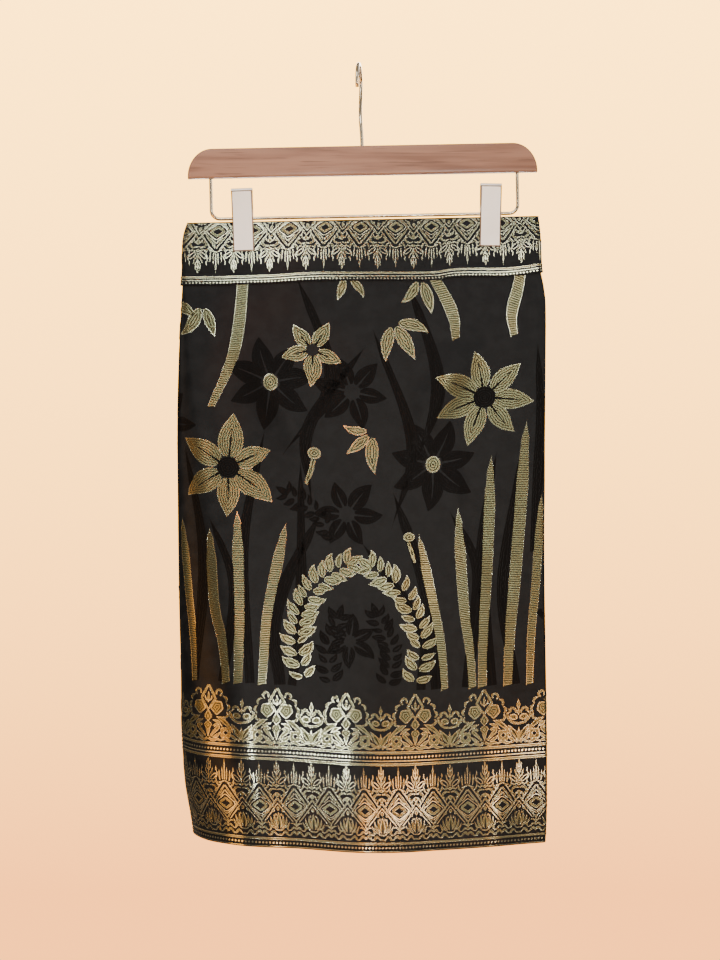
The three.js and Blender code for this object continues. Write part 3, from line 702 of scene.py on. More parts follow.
# Woven motifs, drawn flat in millimetres: a runs round the cloth to the left and h runs up it
class Motif:
    def __init__(self):
        self.points, self.rim, self.phase, self.quads, self.tris, self.count = [], [], [], [], [], 0

    def add(self, points, rim, phase, quads=(), tris=()):
        self.points.append(np.asarray(points, float))
        self.rim.append(np.asarray(rim, float))
        self.phase.append(np.asarray(phase, float))
        if len(quads):
            self.quads.append(np.asarray(quads, int) + self.count)
        if len(tris):
            self.tris.append(np.asarray(tris, int) + self.count)
        self.count += len(points)

    def arrays(self):
        quads = np.vstack(self.quads) if self.quads else np.zeros((0, 4), int)
        tris = np.vstack(self.tris) if self.tris else np.zeros((0, 3), int)
        return np.vstack(self.points), np.concatenate(self.rim), np.concatenate(self.phase), quads, tris

    def place(self, other, shift=(0, 0), mirror=False, flip=None, stretch=(1, 1)):
        points, rim, phase, quads, tris = other.arrays()
        points = points.copy()
        if mirror:
            points[:, 0] *= -1
        if flip is not None:
            points[:, 1] = flip - points[:, 1]
        points[:, 0] = points[:, 0] * stretch[0] + shift[0]
        points[:, 1] = points[:, 1] * stretch[1] + shift[1]
        self.add(points, rim, phase, quads, tris)


def smoothLine(controls, step, closed=False):
    p = np.asarray(controls, float)
    if len(p) == 2:
        count = max(int(np.linalg.norm(p[1] - p[0]) / step), 1)
        return p[0] + (p[1] - p[0]) * np.linspace(0, 1, count + 1)[:, None]
    padded = np.vstack([p[-1], p, p[:2]]) if closed else np.vstack([2 * p[0] - p[1], p, 2 * p[-1] - p[-2]])
    parts = []
    for k in range(len(padded) - 3):
        a, b, c, d = padded[k:k + 4]
        count = max(int(round(np.linalg.norm(c - b) / step)), 1)
        t = np.arange(count)[:, None] / count
        parts.append(0.5 * (2 * b + (c - a) * t + (2 * a - 5 * b + 4 * c - d) * t * t
                            + (3 * b - a - 3 * c + d) * t ** 3))
    if not closed:
        parts.append(p[-1:])
    return np.vstack(parts)


thread = {"rise": 0.34, "sink": -0.10, "step": 1.3, "shoulder": 0.55}


def threadLift(edge, rise):  # how far threads stand out of the cloth, by their distance from a motif's rim
    return thread["sink"] + (rise - thread["sink"]) * np.minimum(edge / thread["shoulder"], 1)


def gridFaces(rowCount, across, closedRows=False, closedAcross=False):  # four-sided faces between rows
    faces = []
    for k in range(rowCount if closedRows else rowCount - 1):
        after = (k + 1) % rowCount
        for m in range(across if closedAcross else across - 1):
            beside = (m + 1) % across
            faces.append((k * across + m, after * across + m, after * across + beside, k * across + beside))
    return faces


def widthAlong(width, count):
    if isinstance(width, (int, float)):
        return np.full(count, float(width))
    rows = np.asarray(width, float)
    t = np.linspace(0, 1, count)
    i = np.clip(np.searchsorted(rows[:, 0], t, side="right") - 1, 0, len(rows) - 2)
    f = (t - rows[i, 0]) / (rows[i + 1, 0] - rows[i, 0])
    f = f * f * (3 - 2 * f)
    return rows[i, 1] * (1 - f) + rows[i + 1, 1] * f


def ribbon(motif, controls, width, closed=False, step=thread["step"], rise=thread["rise"], cross=False,
           slant=0.0, jag=0.0):
    line = smoothLine(controls, step, closed)
    count = len(line)
    wide = widthAlong(width, count)
    if jag:  # the thread ends step in and out along one edge
        line[1::2] += np.array((jag, 0.0)) / 2
        wide[1::2] -= jag
    if closed:
        run = np.roll(line, -1, axis=0) - np.roll(line, 1, axis=0)
    else:
        run = np.gradient(line, axis=0)
    run /= np.maximum(np.linalg.norm(run, axis=1), 1e-9)[:, None]
    side = np.stack([-run[:, 1], run[:, 0]], axis=1)
    along = np.concatenate([[0], np.cumsum(np.linalg.norm(np.diff(line, axis=0), axis=1))])
    acrossCount = 3 if wide.max() < 3.4 else (5 if wide.max() < 8 else 7)
    q = np.linspace(-1, 1, acrossCount)
    points, rim, phase = [], [], []
    for k in range(count):
        half = wide[k] / 2
        edge = (1 - np.abs(q)) * half
        xy = line[k] + side[k] * (q * half)[:, None]
        points.append(np.column_stack([xy, threadLift(edge, rise)]))
        rim.append(edge)
        phase.append(along[k] + slant * q * half if cross else edge + 0.5 * math.sin(along[k] * 0.7))
    quads = gridFaces(count, acrossCount, closedRows=closed)
    motif.add(np.vstack(points), np.concatenate(rim), np.concatenate(phase), quads)


# A petal in two lobes that part along its middle near the flower, over a dark thread drawn in under
def petal(motif, base, angle, length, width, bow=0.0, slit=0.62, rise=thread["rise"], steps=None, under=None,
          blunt=0.42):
    count = steps or max(int(length / 3), 6)
    t = np.linspace(0, 1, count + 1)
    profile = np.sin(math.pi * t ** 0.88) ** 0.9 * (1 - 0.22 * t) + blunt * (1 - t) ** 3
    half = width / 2 * profile / profile.max()
    half[-1] = 0.15
    bent = angle + bow * (t - 0.3) * (0.4 + t)
    step = length / count
    line = [np.asarray(base, float)]
    for k in range(count):
        line.append(line[-1] + step * np.array((math.cos(bent[k]), math.sin(bent[k]))))
    line = np.array(line)
    side = np.stack([-np.sin(bent), np.cos(bent)], axis=1)
    gap = np.where(t < slit, 0.35 + 0.85 * (1 - t / slit), 0) if slit else np.zeros_like(t)
    if under is not None and slit:
        ribbon(under, line[: int(count * slit)], [(0, 2.6), (1, 1.0)], step=length / count, rise=0.12)
    across = 5
    for hand in (-1, 1):
        points, rim, phase = [], [], []
        for k in range(count + 1):
            inner = min(gap[k], half[k] * 0.9)
            reach = inner + (half[k] - inner) * np.linspace(0, 1, across)
            outer = half[k] - reach
            xy = line[k] + side[k] * (hand * reach)[:, None]
            points.append(np.column_stack([xy, threadLift(outer, rise)]))
            rim.append(outer)
            phase.append(outer + 0.45 * math.sin(k * step * 0.8))
        quads = gridFaces(count + 1, across)
        if hand < 0:
            quads = [face[::-1] for face in quads]
        motif.add(np.vstack(points), np.concatenate(rim), np.concatenate(phase), quads)


def blob(motif, outline, rise=thread["rise"], rings=2, smooth=1.2):  # a filled shape with its rim turned down
    line = smoothLine(outline, smooth, True)
    middle = line.mean(axis=0)
    count = len(line)
    reach = np.linalg.norm(line - middle, axis=1)
    inset = [0, thread["shoulder"]] + [None] * rings
    points, rim, phase = [], [], []
    for k, depth in enumerate(inset):
        if depth is None:
            part = 1 - (k - 1) / (rings + 1)
            place = middle + (line - middle) * part * 0.9
        else:
            place = middle + (line - middle) * ((reach - depth) / reach)[:, None]
        edge = reach - np.linalg.norm(place - middle, axis=1)
        lift = np.full(count, thread["sink"] if k == 0 else rise)
        points.append(np.column_stack([place, lift]))
        rim.append(edge)
        phase.append(edge)
    points.append([(*middle, rise)])
    rim.append([reach.mean()])
    phase.append([reach.mean()])
    quads, tris = [], []
    for k in range(len(inset) - 1):
        for m in range(count):
            n = (m + 1) % count
            quads.append((k * count + m, k * count + n, (k + 1) * count + n, (k + 1) * count + m))
    last = len(inset) - 1
    for m in range(count):
        tris.append((last * count + m, last * count + (m + 1) % count, len(inset) * count))
    motif.add(np.vstack(points), np.concatenate(rim), np.concatenate(phase), quads, tris)


def ellipse(cx, cy, rx, ry, turn=0.0, count=10):
    angles = np.linspace(0, 2 * math.pi, count, endpoint=False)
    x, y = rx * np.cos(angles), ry * np.sin(angles)
    return np.column_stack([cx + x * math.cos(turn) - y * math.sin(turn),
                            cy + x * math.sin(turn) + y * math.cos(turn)])


def cutCorners(corners, near=0.12):  # an outline that stays straight between its corners once it is smoothed
    p = np.asarray(corners, float)
    forth, back = np.roll(p, -1, axis=0), np.roll(p, 1, axis=0)
    return np.stack([p + (back - p) * near, p + (forth - p) * near], axis=1).reshape(-1, 2)


def bead(motif, x, y, rx, ry):
    ring = ellipse(x, y, rx, ry, math.pi / 8, 8)
    points = np.vstack([np.column_stack([ring, np.full(8, thread["sink"])]), [(x, y, 0.55)]])
    motif.add(points, [0] * 8 + [0.5], [0] * 9, tris=[(k, (k + 1) % 8, 8) for k in range(8)])


def eachSide(motif, draw):  # draws a half with draw() and adds it with its mirror image
    half = Motif()
    draw(half)
    motif.place(half)
    motif.place(half, mirror=True)


def filigreeTile():  # one repeat of the dense border, from 10 to 88 above the hem, its middle on the eye
    tile = Motif()
    axis = filigree["repeat"] / 2  # of the palmettes, halfway between two eyes

    def half(m):
        ribbon(m, [(0, 13.4), (2.2, 16.4), (4.6, 15.0), (6.6, 12.6), (8.7, 13.2), (11, 16.2), (13.4, 14.8),
                   (15.2, 12.6), (axis, 13.2)],
               [(0, 1.4), (0.16, 3.2), (0.4, 1.5), (0.62, 3.2), (0.86, 1.4), (1, 2.2)])
        ribbon(m, [(0, 19.0), (2.8, 20.8), (5.4, 18.2), (8.0, 17.6), (9.6, 20.8), (12.4, 20.8), (14.4, 18.0),
                   (axis, 17.6)],
               [(0, 1.4), (0.16, 2.5), (0.42, 1.3), (0.62, 2.5), (0.86, 1.3), (1, 1.8)])
        ribbon(m, [(5.0, 58.8), (8.2, 61.0), (9.6, 66.4)], [(0, 0.8), (0.5, 2.3), (1, 0.5)])
        ribbon(m, [(9.2, 66.6), (7.8, 71.0), (8.8, 75.0)], [(0, 0.6), (0.5, 1.8), (1, 0.5)])
        ribbon(m, [(0.6, 22.4), (3.0, 25.0), (6.0, 24.8)], [(0, 0.9), (0.5, 2.2), (1, 0.5)])
        ribbon(m, [(15.6, 20.6), (13.4, 26), (12.9, 33.8)], [(0, 1.2), (0.45, 3.3), (1, 0.4)])
        ribbon(m, [(14.2, 20.2), (10.6, 24.4), (9.2, 31.4)], [(0, 1.0), (0.5, 2.9), (1, 0.4)])
        ribbon(m, [(12.4, 20.0), (8.8, 21.8), (6.4, 27.0)], [(0, 0.9), (0.5, 2.4), (1, 0.4)])
        ribbon(m, [(0.2, 27.2), (8.7, 38.2), (axis, 50)], 1.8)
        ribbon(m, [(3.2, 26.6), (9.8, 34.8), (axis, 44.8)], 1.3)
        ribbon(m, [(12.9, 41), (9.0, 47.4), (4.6, 53.8), (0.2, 60.2)], [(0, 1.2), (0.5, 2.5), (1, 1.8)])
        ribbon(m, [(15.0, 44.8), (11, 51), (7, 57.2), (3.4, 62.4)], 1.5)
        ribbon(m, [(0.2, 55.2), (3.4, 51.0), (6.0, 48.4)], 1.5)
        ribbon(m, [(0.2, 31.2), (4.8, 35), (8.2, 39.4)], 1.3)
        ribbon(m, [(16.4, 54.8), (13.8, 52.4), (13.0, 49.4)], [(0, 0.9), (0.5, 2.2), (1, 0.6)])
        ribbon(m, [(16.8, 58.6), (13.4, 59.2), (10.2, 57.4), (9.8, 54.0), (12.0, 53.2)],
               [(0, 1.4), (0.5, 2.7), (1, 1.9)])
        ribbon(m, [(16.9, 61.4), (14.4, 63.0), (12.2, 61.8), (10.2, 63.4)], [(0, 1.0), (0.5, 2.2), (1, 1.2)])
        ribbon(m, ellipse(12.0, 68.0, 4.5, 1.7, 2.37), 1.25, closed=True)
        ribbon(m, [(17.0, 68.2), (14.4, 72.2), (12.9, 77.4)], [(0, 1.2), (0.6, 1.9), (1, 0.4)])
        ribbon(m, [(17.1, 73.6), (15.5, 76.4), (14.9, 81.8)], [(0, 1.0), (0.6, 1.5), (1, 0.4)])
        ribbon(m, [(9.2, 74.4), (9.0, 79.0)], [(0, 1.5), (0.5, 1.2), (1, 0.3)])
        ribbon(m, [(0.2, 64.8), (2.8, 63.4), (6.4, 62.2)], 1.5)
        ribbon(m, [(2.0, 65.8), (2.3, 70.4), (2.5, 78.4)], [(0, 1.1), (0.5, 1.9), (1, 0.4)])
        ribbon(m, [(4.9, 64.8), (5.5, 69.4), (5.6, 75.6)], [(0, 1.1), (0.5, 1.8), (1, 0.4)])
        ribbon(m, [(axis - 0.4, 79.4), (axis - 1.8, 81.4), (axis - 2.5, 84.4)],
               [(0, 0.8), (0.6, 1.4), (1, 0.3)])
        blob(m, ellipse(12.4, 37.4, 1.5, 1.7, 0.5), rings=0)
        blob(m, ellipse(14.6, 33.2, 0.9, 1.3), rings=0)

    eachSide(tile, half)
    ribbon(tile, [(6.1, 42), (2.6, 45.0), (0, 46.8), (-2.6, 45.0), (-6.1, 42), (-2.6, 39.0), (0, 37.2),
                  (2.6, 39.0)], 3.0, closed=True)
    ribbon(tile, [(9.8, 42), (4.6, 47.4), (0, 50.6), (-4.6, 47.4), (-9.8, 42), (-4.6, 36.6), (0, 33.6),
                  (4.6, 36.6)], 1.1, closed=True)
    ribbon(tile, [(0, 20.8), (0, 27.4)], [(0, 0.8), (0.45, 3.0), (1, 0.5)])
    ribbon(tile, [(0, 66), (0, 87.6)], [(0, 1.2), (0.5, 0.9), (0.68, 2.2), (0.8, 0.6), (1, 0.3)])
    petal(tile, (axis, 19.2), math.pi / 2, 16.5, 5.4, slit=0.55)
    ribbon(tile, [(axis, 65), (axis, filigree["top"])],
           [(0, 1.4), (0.2, 2.4), (0.4, 1.3), (0.72, 1.0), (0.84, 2.2), (1, 0.3)])
    blob(tile, ellipse(axis, 53.2, 2.0, 2.6), rings=0)
    blob(tile, ellipse(axis, 62.4, 1.7, 1.9), rings=0)
    blob(tile, ellipse(axis, 39.4, 1.6, 2.2), rings=0)
    return tile


filigree = {"repeat": 34.7, "count": 22, "start": 12.3, "top": 88}
buds = {"repeat": 69.4, "count": 11, "start": 64.35, "base": 103.6}
hemRows = {"beads": (4.6, 96.6), "pitch": 3.47, "beadSize": (1.15, 1.35),
           "lines": ((8.9, 2.4), (86.9 + 2.4, 2.6), (93.0, 1.3), (101.4, 2.6), (1.0, 0.9))}  # height, width


def budTile():  # one repeat of the row of tall and small buds, local heights above the row's base
    tile = Motif()

    def tall(m):
        ribbon(m, [(0.2, 57.4), (7.9, 43.4)], [(0, 2.4), (0.6, 3.2), (1, 2.6)])
        ribbon(m, [(8.1, 44.4), (0.2, 32.6)], [(0, 2.6), (0.5, 2.6), (1, 1.8)])
        ribbon(m, [(0.3, 41.2), (3.0, 43.0), (3.7, 46.4)], [(0, 1.2), (0.5, 2.1), (1, 0.6)])
        ribbon(m, [(8.4, 48.0), (8.8, 51.8), (11.6, 52.8), (14.2, 49.8), (12.4, 46.8)],
               [(0, 1.8), (0.5, 3.0), (1, 1.8)])
        blob(m, cutCorners([(2.2, 33.8), (6.4, 41.8), (14.4, 41.0), (16.2, 33.4), (9.4, 26.6)]))
        ribbon(m, [(15.0, 46.6), (17.8, 45.6), (19.4, 42.6), (18.4, 40.4)], [(0, 1.4), (0.5, 3.4), (1, 1.6)])
        ribbon(m, [(19.2, 39.2), (21.4, 36.8), (21.4, 33.8), (19.8, 32.0)], [(0, 1.4), (0.5, 3.4), (1, 1.6)])
        ribbon(m, [(19.6, 30.8), (20.8, 28.0), (19.0, 25.2), (15.8, 25.2)], [(0, 1.4), (0.5, 3.2), (1, 1.6)])
        ribbon(m, [(9.2, 25.6), (14.6, 22.8), (20.0, 18.6), (24.2, 13.8), (27.2, 8.2)],
               [(0, 0.9), (0.25, 5.4), (0.6, 4.0), (1, 0.6)])
        ribbon(m, [(5.2, 22.0), (10.4, 20.2), (15.4, 16.0)], [(0, 0.7), (0.45, 3.8), (1, 0.8)])
        ribbon(m, [(2.8, 5.2), (6.0, 9.2), (9.2, 12.6), (11.4, 15.4), (8.4, 17.2), (6.4, 15.4)],
               [(0, 2.4), (0.5, 4.1), (1, 2.6)])
        ribbon(m, [(5.2, 4.2), (9.8, 6.4), (14.0, 10.2)], [(0, 1.4), (0.5, 3.7), (1, 0.8)])
        ribbon(m, [(0.6, 3.4), (4.6, 1.2), (9.6, 2.9), (14.0, 0.9)], [(0, 2.6), (0.5, 3.8), (1, 1.4)])
        ribbon(m, [(13.4, 1.4), (18.2, 3.6), (22.8, 1.6), (28.6, 2.2)], [(0, 1.6), (0.5, 3.6), (1, 1.0)])
        ribbon(m, [(23.4, 9.0), (26.6, 5.8), (31.0, 3.0)], [(0, 1.0), (0.5, 3.8), (1, 0.8)])
        ribbon(m, ellipse(18.9, 9.6, 3.9, 3.9, count=4), 3.6, closed=True)
        for turn in range(4):
            a = math.radians(45 + 90 * turn)
            blob(m, ellipse(18.9 + 4.3 * math.cos(a), 9.6 + 4.3 * math.sin(a), 2.4, 2.4, a), rings=0)

    def small(m):
        ribbon(m, [(0.8, 3.6), (3.8, 10.4), (10.6, 19.4)], [(0, 2.0), (0.4, 6.4), (0.8, 3.4), (1, 0.4)])
        ribbon(m, [(1.4, 1.4), (4.2, 4.2), (7.4, 1.2)], 2.4)
        ribbon(m, [(0, 20.8), (5.6, 21.8), (10.0, 25.8), (11.8, 31.0), (8.8, 32.6)],
               [(0, 2.6), (0.6, 3.4), (1, 1.6)])
        blob(m, ellipse(5.0, 27.6, 4.2, 3.1, 0.3), rings=0)
        ribbon(m, [(1.6, 31.8), (5.0, 36.8), (8.9, 35.6), (8.0, 33.2)], 2.8)

    eachSide(tile, tall)
    ribbon(tile, [(0, 20.2), (0, 32.4)], [(0, 1.2), (0.45, 9.2), (1, 1.4)])
    ribbon(tile, [(0, 5.0), (0, 20.0)], [(0, 1.2), (0.5, 4.6), (0.82, 9.2), (1, 4.6)])
    ribbon(tile, [(0, 39.6), (0, 50.8)], [(0, 1.0), (0.55, 3.2), (1, 0.4)])
    fleur = Motif()
    eachSide(fleur, small)
    ribbon(fleur, [(0, 3.0), (0, 17.0)], [(0, 1.4), (0.45, 4.2), (1, 0.5)])
    ribbon(fleur, [(0, 29.4), (0, 35.6)], [(0, 0.8), (0.5, 3.2), (1, 1.0)])
    ribbon(fleur, [(0, 36.0), (0, 45.8)], [(0, 1.2), (0.35, 4.2), (1, 0.3)])
    tile.place(fleur, shift=(buds["repeat"] / 2, 0))
    return tile


def lineRound(motif, height, width, girth):
    count = int(girth / 2.4)
    a = np.linspace(0, girth, count, endpoint=False)
    a = np.unique(np.concatenate([a, np.arange(-6, 6, 0.5) % girth, girth / 2 + np.arange(-6, 6, 0.5)]))
    n = len(a)
    rows = [(-width / 2, thread["sink"], 0), (-width / 2 + 0.4, thread["rise"], 0.4), (0, 0.4, width / 2),
            (width / 2 - 0.4, thread["rise"], 0.4), (width / 2, thread["sink"], 0)]
    points = np.vstack([np.column_stack([a, np.full(n, height + off), np.full(n, lift)])
                        for off, lift, _ in rows])
    rim = np.concatenate([np.full(n, edge) for _, _, edge in rows])
    motif.add(points, rim, rim, gridFaces(len(rows), n, closedAcross=True))


def wovenPiece(name, motif, grid, girth, material, profile, lift=0.0, clipGap=None):
    points, rim, phase, quads, tris = motif.arrays()
    if clipGap is not None:  # what lies above the cloth's top edge is cut away
        top = np.interp(np.mod(points[:, 0] / girth, 1), grid["share"], grid["tall"]) - clipGap
        under = points[:, 1] < top
        quads, tris = quads[under[quads].any(axis=1)], tris[under[tris].any(axis=1)]
        points[:, 1] = np.minimum(points[:, 1], top)
    used = np.unique(np.concatenate([quads.ravel(), tris.ravel()]))
    index = np.full(len(points), -1)
    index[used] = np.arange(len(used))
    flat = points[used]
    share = flat[:, 0] / girth
    part = flat[:, 1] / np.interp(np.mod(share, 1), grid["share"], grid["tall"])
    places, out = onCloth(grid, share, flat[:, 1], flat[:, 2] + lift + profile(part))
    quads, tris = index[quads], index[tris]

    def facing(faces):  # the flat motif is mirrored on the cloth, so faces that run the wrong way are turned
        p = flat[faces]
        doubled = np.zeros(len(faces))
        for k in range(faces.shape[1]):
            a, b = p[:, k], p[:, (k + 1) % faces.shape[1]]
            doubled += a[:, 0] * b[:, 1] - b[:, 0] * a[:, 1]
        turned = doubled > 0
        faces = faces.copy()
        faces[turned] = faces[turned][:, ::-1]
        return faces

    faces = facing(quads).tolist() + facing(tris).tolist()
    obj = meshObject(name, places, faces, [material], weave=flat[:, :2] * mm,
                     floats={"rim": rim[used], "phase": phase[used]})
    obj.data.normals_split_custom_set_from_vertices(out.tolist())  # flat threads shine as the cloth turns
    print(name, len(obj.data.polygons))
    return obj


def spread(tile, count, repeat, start, base=0.0, **more):
    row = Motif()
    for k in range(count):
        row.place(tile, shift=(start + k * repeat, base), **more)
    return row


hemPattern = spread(filigreeTile(), filigree["count"], filigree["repeat"], filigree["start"])
hemEdges = Motif()
for height, width in hemRows["lines"]:
    lineRound(hemEdges, height, width, tube["girth"])
for height in hemRows["beads"]:
    for k in range(int(tube["girth"] / hemRows["pitch"])):
        bead(hemEdges, (k + 0.5) * hemRows["pitch"], height, *hemRows["beadSize"])
budPattern = spread(budTile(), buds["count"], buds["repeat"], buds["start"], buds["base"])
hemFiligree = wovenPiece("hemFiligree", hemPattern, tubeGrid, tube["girth"], made["gold"], tubeProfile)
hemLines = wovenPiece("hemLines", hemEdges, tubeGrid, tube["girth"], made["gold"], tubeProfile)
hemBuds = wovenPiece("hemBuds", budPattern, tubeGrid, tube["girth"], made["gold"], tubeProfile)

bandBorder = {"repeat": 36.2, "count": 20, "start": 2.2, "squeeze": 0.935, "low": 11.6,
              "lines": ((4.4, 1.1), (7.6, 2.2)), "beadPitch": 3.4, "beadHeight": 1.9, "beadSize": (1.1, 1.0)}
bandTile = Motif()
bandTile.place(filigreeTile(), stretch=(bandBorder["repeat"] / filigree["repeat"], bandBorder["squeeze"]))
bandPattern = spread(bandTile, bandBorder["count"], bandBorder["repeat"], bandBorder["start"],
                     flip=filigree["top"] * bandBorder["squeeze"] + bandBorder["low"])
for height, width in bandBorder["lines"]:
    lineRound(bandPattern, height, width, band["girth"])
beadCount = int(band["girth"] / bandBorder["beadPitch"])
for k in range(beadCount):
    place = (k + 0.5) * band["girth"] / beadCount
    bead(bandPattern, place, bandBorder["beadHeight"], *bandBorder["beadSize"])
waistbandPattern = wovenPiece("waistbandPattern", bandPattern, bandGrid, band["girth"], made["gold"],
                              bandProfile, lift=bandOut, clipGap=0.4)

# Flowers and leaves over the body of the cloth
gold, black = Motif(), Motif()
draw = random.Random(7)


def flower(motif, x, y, reach, petals, start, heart=11.0, wide=0.62, slit=0.62, rise=thread["rise"]):
    for k in range(petals):
        angle = start + 2 * math.pi * k / petals + draw.uniform(-0.09, 0.09)
        long = (reach - heart) * draw.uniform(0.84, 1.06)
        base = (x + heart * math.cos(angle), y + heart * math.sin(angle))
        petal(motif, base, angle, long, long * wide, bow=draw.uniform(-0.5, 0.5), slit=slit, rise=rise,
              under=black if motif is gold else None)


def heartDisc(motif, x, y, radius, rise):
    blob(motif, ellipse(x, y, radius, radius * 0.96, count=14), rise=rise, rings=3, smooth=2.4)


def strap(motif, controls, width, slant=0.0):  # a long leaf with threads across it and a stepped edge
    ribbon(motif, controls, width, step=1.1, cross=True, slant=slant, jag=0.7)


def blade(motif, controls, width, rise, foot=0.7):  # a long leaf that comes to a point
    widths = [(0, width * foot), (0.4, width), (0.8, width * 0.6), (1, 0.3)]
    ribbon(motif, controls, widths, step=3.0, rise=rise)


def drooping(motif, x, y, size, angles):  # a few loose petals that hang from one point
    for k, (angle, long) in enumerate(angles):
        base = (x + 6.5 * math.cos(angle), y + 6.5 * math.sin(angle))
        petal(motif, base, angle, size * long, size * long * 0.37, bow=0.75 - 0.6 * k, slit=0, blunt=0.25,
              rise=thread["rise"] + 0.16 * k)


def budOnStem(motif, x, y, size, lean):
    blob(motif, ellipse(x, y, size * 0.42, size * 0.36), rings=1)
    ribbon(motif, [(x + 0.5, y - size * 0.4), (x + lean * 0.4, y - size), (x + lean, y - size * 1.9)],
           [(0, size * 0.3), (0.6, size * 0.36), (1, size * 0.2)], step=2.4)


def leafySpray(motif, controls, leaf, rise=thread["rise"]):  # leaves in pairs along a bent stem
    line = smoothLine(controls, leaf * 0.56)
    run = np.gradient(line, axis=0)
    for k in range(len(line)):
        heading = math.atan2(run[k][1], run[k][0])
        for side in (-1, 1):
            angle = heading + side * draw.uniform(0.8, 1.2)
            long = leaf * draw.uniform(0.8, 1.12)
            base = line[k] + 1.6 * np.array((math.cos(angle), math.sin(angle)))
            wide = long * draw.uniform(0.46, 0.56)
            petal(motif, base, angle, long, wide, bow=-side * draw.uniform(0.2, 1.1),
                  slit=0, rise=rise + 0.07 * (k % 3), steps=7, blunt=0.3)
    petal(motif, line[-1], math.atan2(run[-1][1], run[-1][0]), leaf * 1.1, leaf * 0.55, slit=0,
          rise=rise, steps=7)


blackRise = 0.16
ground = 164.0


def clump(x, flowerAt, shadowAt, petals, straps, blades):
    fx, fy, reach = flowerAt
    sx, sy, sReach = shadowAt
    flower(black, sx, sy, sReach, 7, 0.3, heart=9, rise=blackRise)
    blob(gold, ellipse(sx, sy, 7.6, 8.6), rings=1)
    heartDisc(black, fx, fy, 11.2, blackRise)
    flower(gold, fx, fy, reach, petals, 0.55, wide=0.53 if petals > 6 else 0.60)
    for low, mid, high, width, slant in straps:
        bowed = ((2 * (x + low) + mid[0]) / 3, ground + (mid[1] - ground) * 0.5)
        strap(gold, [(x + low, ground), bowed, mid, high],
              [(0, width * 0.72), (0.35, width * 0.92), (0.78, width), (0.92, width * 0.62), (1, 0.6)], slant)
    for low, mid, high, width in blades:
        blade(black, [(x + low, ground + 1), mid, high], width, rise=blackRise)


clump(
    62, (64, 462, 55), (116, 396, 50), 7,
    [(-22, (30, 290), (20, 436), 14.0, 0.0), (4, (60, 290), (56, 402), 13.0, 0.0),
     (14, (84, 250), (90, 350), 12.0, 0.4), (42, (112, 236), (130, 324), 11.0, 0.25),
     (-44, (10, 270), (4, 360), 10.0, 0.1)],
    [(-6, (66, 300), (50, 410), 15), (20, (70, 280), (100, 350), 16), (50, (120, 260), (158, 372), 19),
     (66, (128, 230), (190, 318), 15), (-30, (44, 270), (18, 436), 14)],
)
clump(
    318, (326, 384, 54), (284, 474, 50), 6,
    [(-30, (282, 246), (266, 330), 12.0, -0.2), (-6, (312, 240), (316, 340), 13.0, 0.0),
     (6, (338, 246), (344, 322), 12.0, 0.4), (40, (366, 256), (374, 330), 10.0, 0.1)],
    [(-18, (310, 300), (288, 430), 15), (10, (318, 260), (346, 336), 14), (40, (350, 290), (372, 410), 14),
     (-48, (276, 240), (230, 346), 19), (-60, (250, 240), (252, 400), 14)],
)
# straps that rise to the waistband
strap(gold, [(94, 524), (98, 550), (116, 590)], [(0, 9), (0.5, 13), (1, 12)], 0.3)
strap(gold, [(34, 524), (36, 550), (22, 590)], [(0, 8), (0.5, 13), (1, 11)], 0.1)
strap(gold, [(344, 446), (322, 506), (316, 590)], [(0, 8), (0.5, 13), (1, 12)], -0.3)
blade(black, [(134, 396), (112, 480), (146, 588)], 17, rise=blackRise, foot=0.05)
blade(black, [(270, 400), (222, 480), (262, 588)], 17, rise=blackRise, foot=0.05)
blade(black, [(158, 330), (138, 420), (182, 540)], 14, rise=blackRise, foot=0.05)
blade(black, [(240, 350), (244, 430), (186, 520)], 15, rise=blackRise, foot=0.05)
blade(black, [(12, 300), (6, 420), (10, 520)], 14, rise=blackRise)
# loose blossoms between the clumps
flower(gold, 242, 510, 37, 5, 0.9, heart=6, wide=0.6, slit=0.4)
drooping(gold, 160, 544, 34, [(-2.95, 1.0), (-2.15, 1.15), (-1.35, 1.05)])
drooping(gold, 178, 430, 31, [(0.05, 0.8), (-0.75, 0.95), (-1.55, 1.2)])
drooping(gold, 208, 592, 24, [(-2.3, 1.0), (-1.25, 1.0)])
drooping(gold, 358, 552, 32, [(-1.15, 1.1), (-2.0, 0.95)])
drooping(gold, 130, 590, 28, [(-1.0, 1.0), (-1.85, 1.2)])
budOnStem(gold, 238, 404, 17, 8)
budOnStem(gold, 140, 322, 14, -6)
flower(black, 200, 470, 42, 6, 0.2, heart=8, rise=blackRise)
flower(black, 204, 344, 40, 6, 1.1, heart=8, rise=blackRise)
flower(black, 200, 214, 30, 6, 0.6, heart=6, rise=blackRise)
# a low leafy arch at the middle
leafySpray(gold, [(246, 174), (254, 208), (248, 246), (228, 276), (204, 292)], 18)
leafySpray(gold, [(134, 174), (128, 208), (136, 246), (154, 274), (178, 290)], 18)
leafySpray(black, [(218, 172), (222, 200), (212, 236)], 15, rise=blackRise)
leafySpray(black, [(162, 172), (158, 204), (172, 240)], 15, rise=blackRise)
leafySpray(black, [(216, 318), (236, 344), (264, 360)], 14, rise=blackRise)

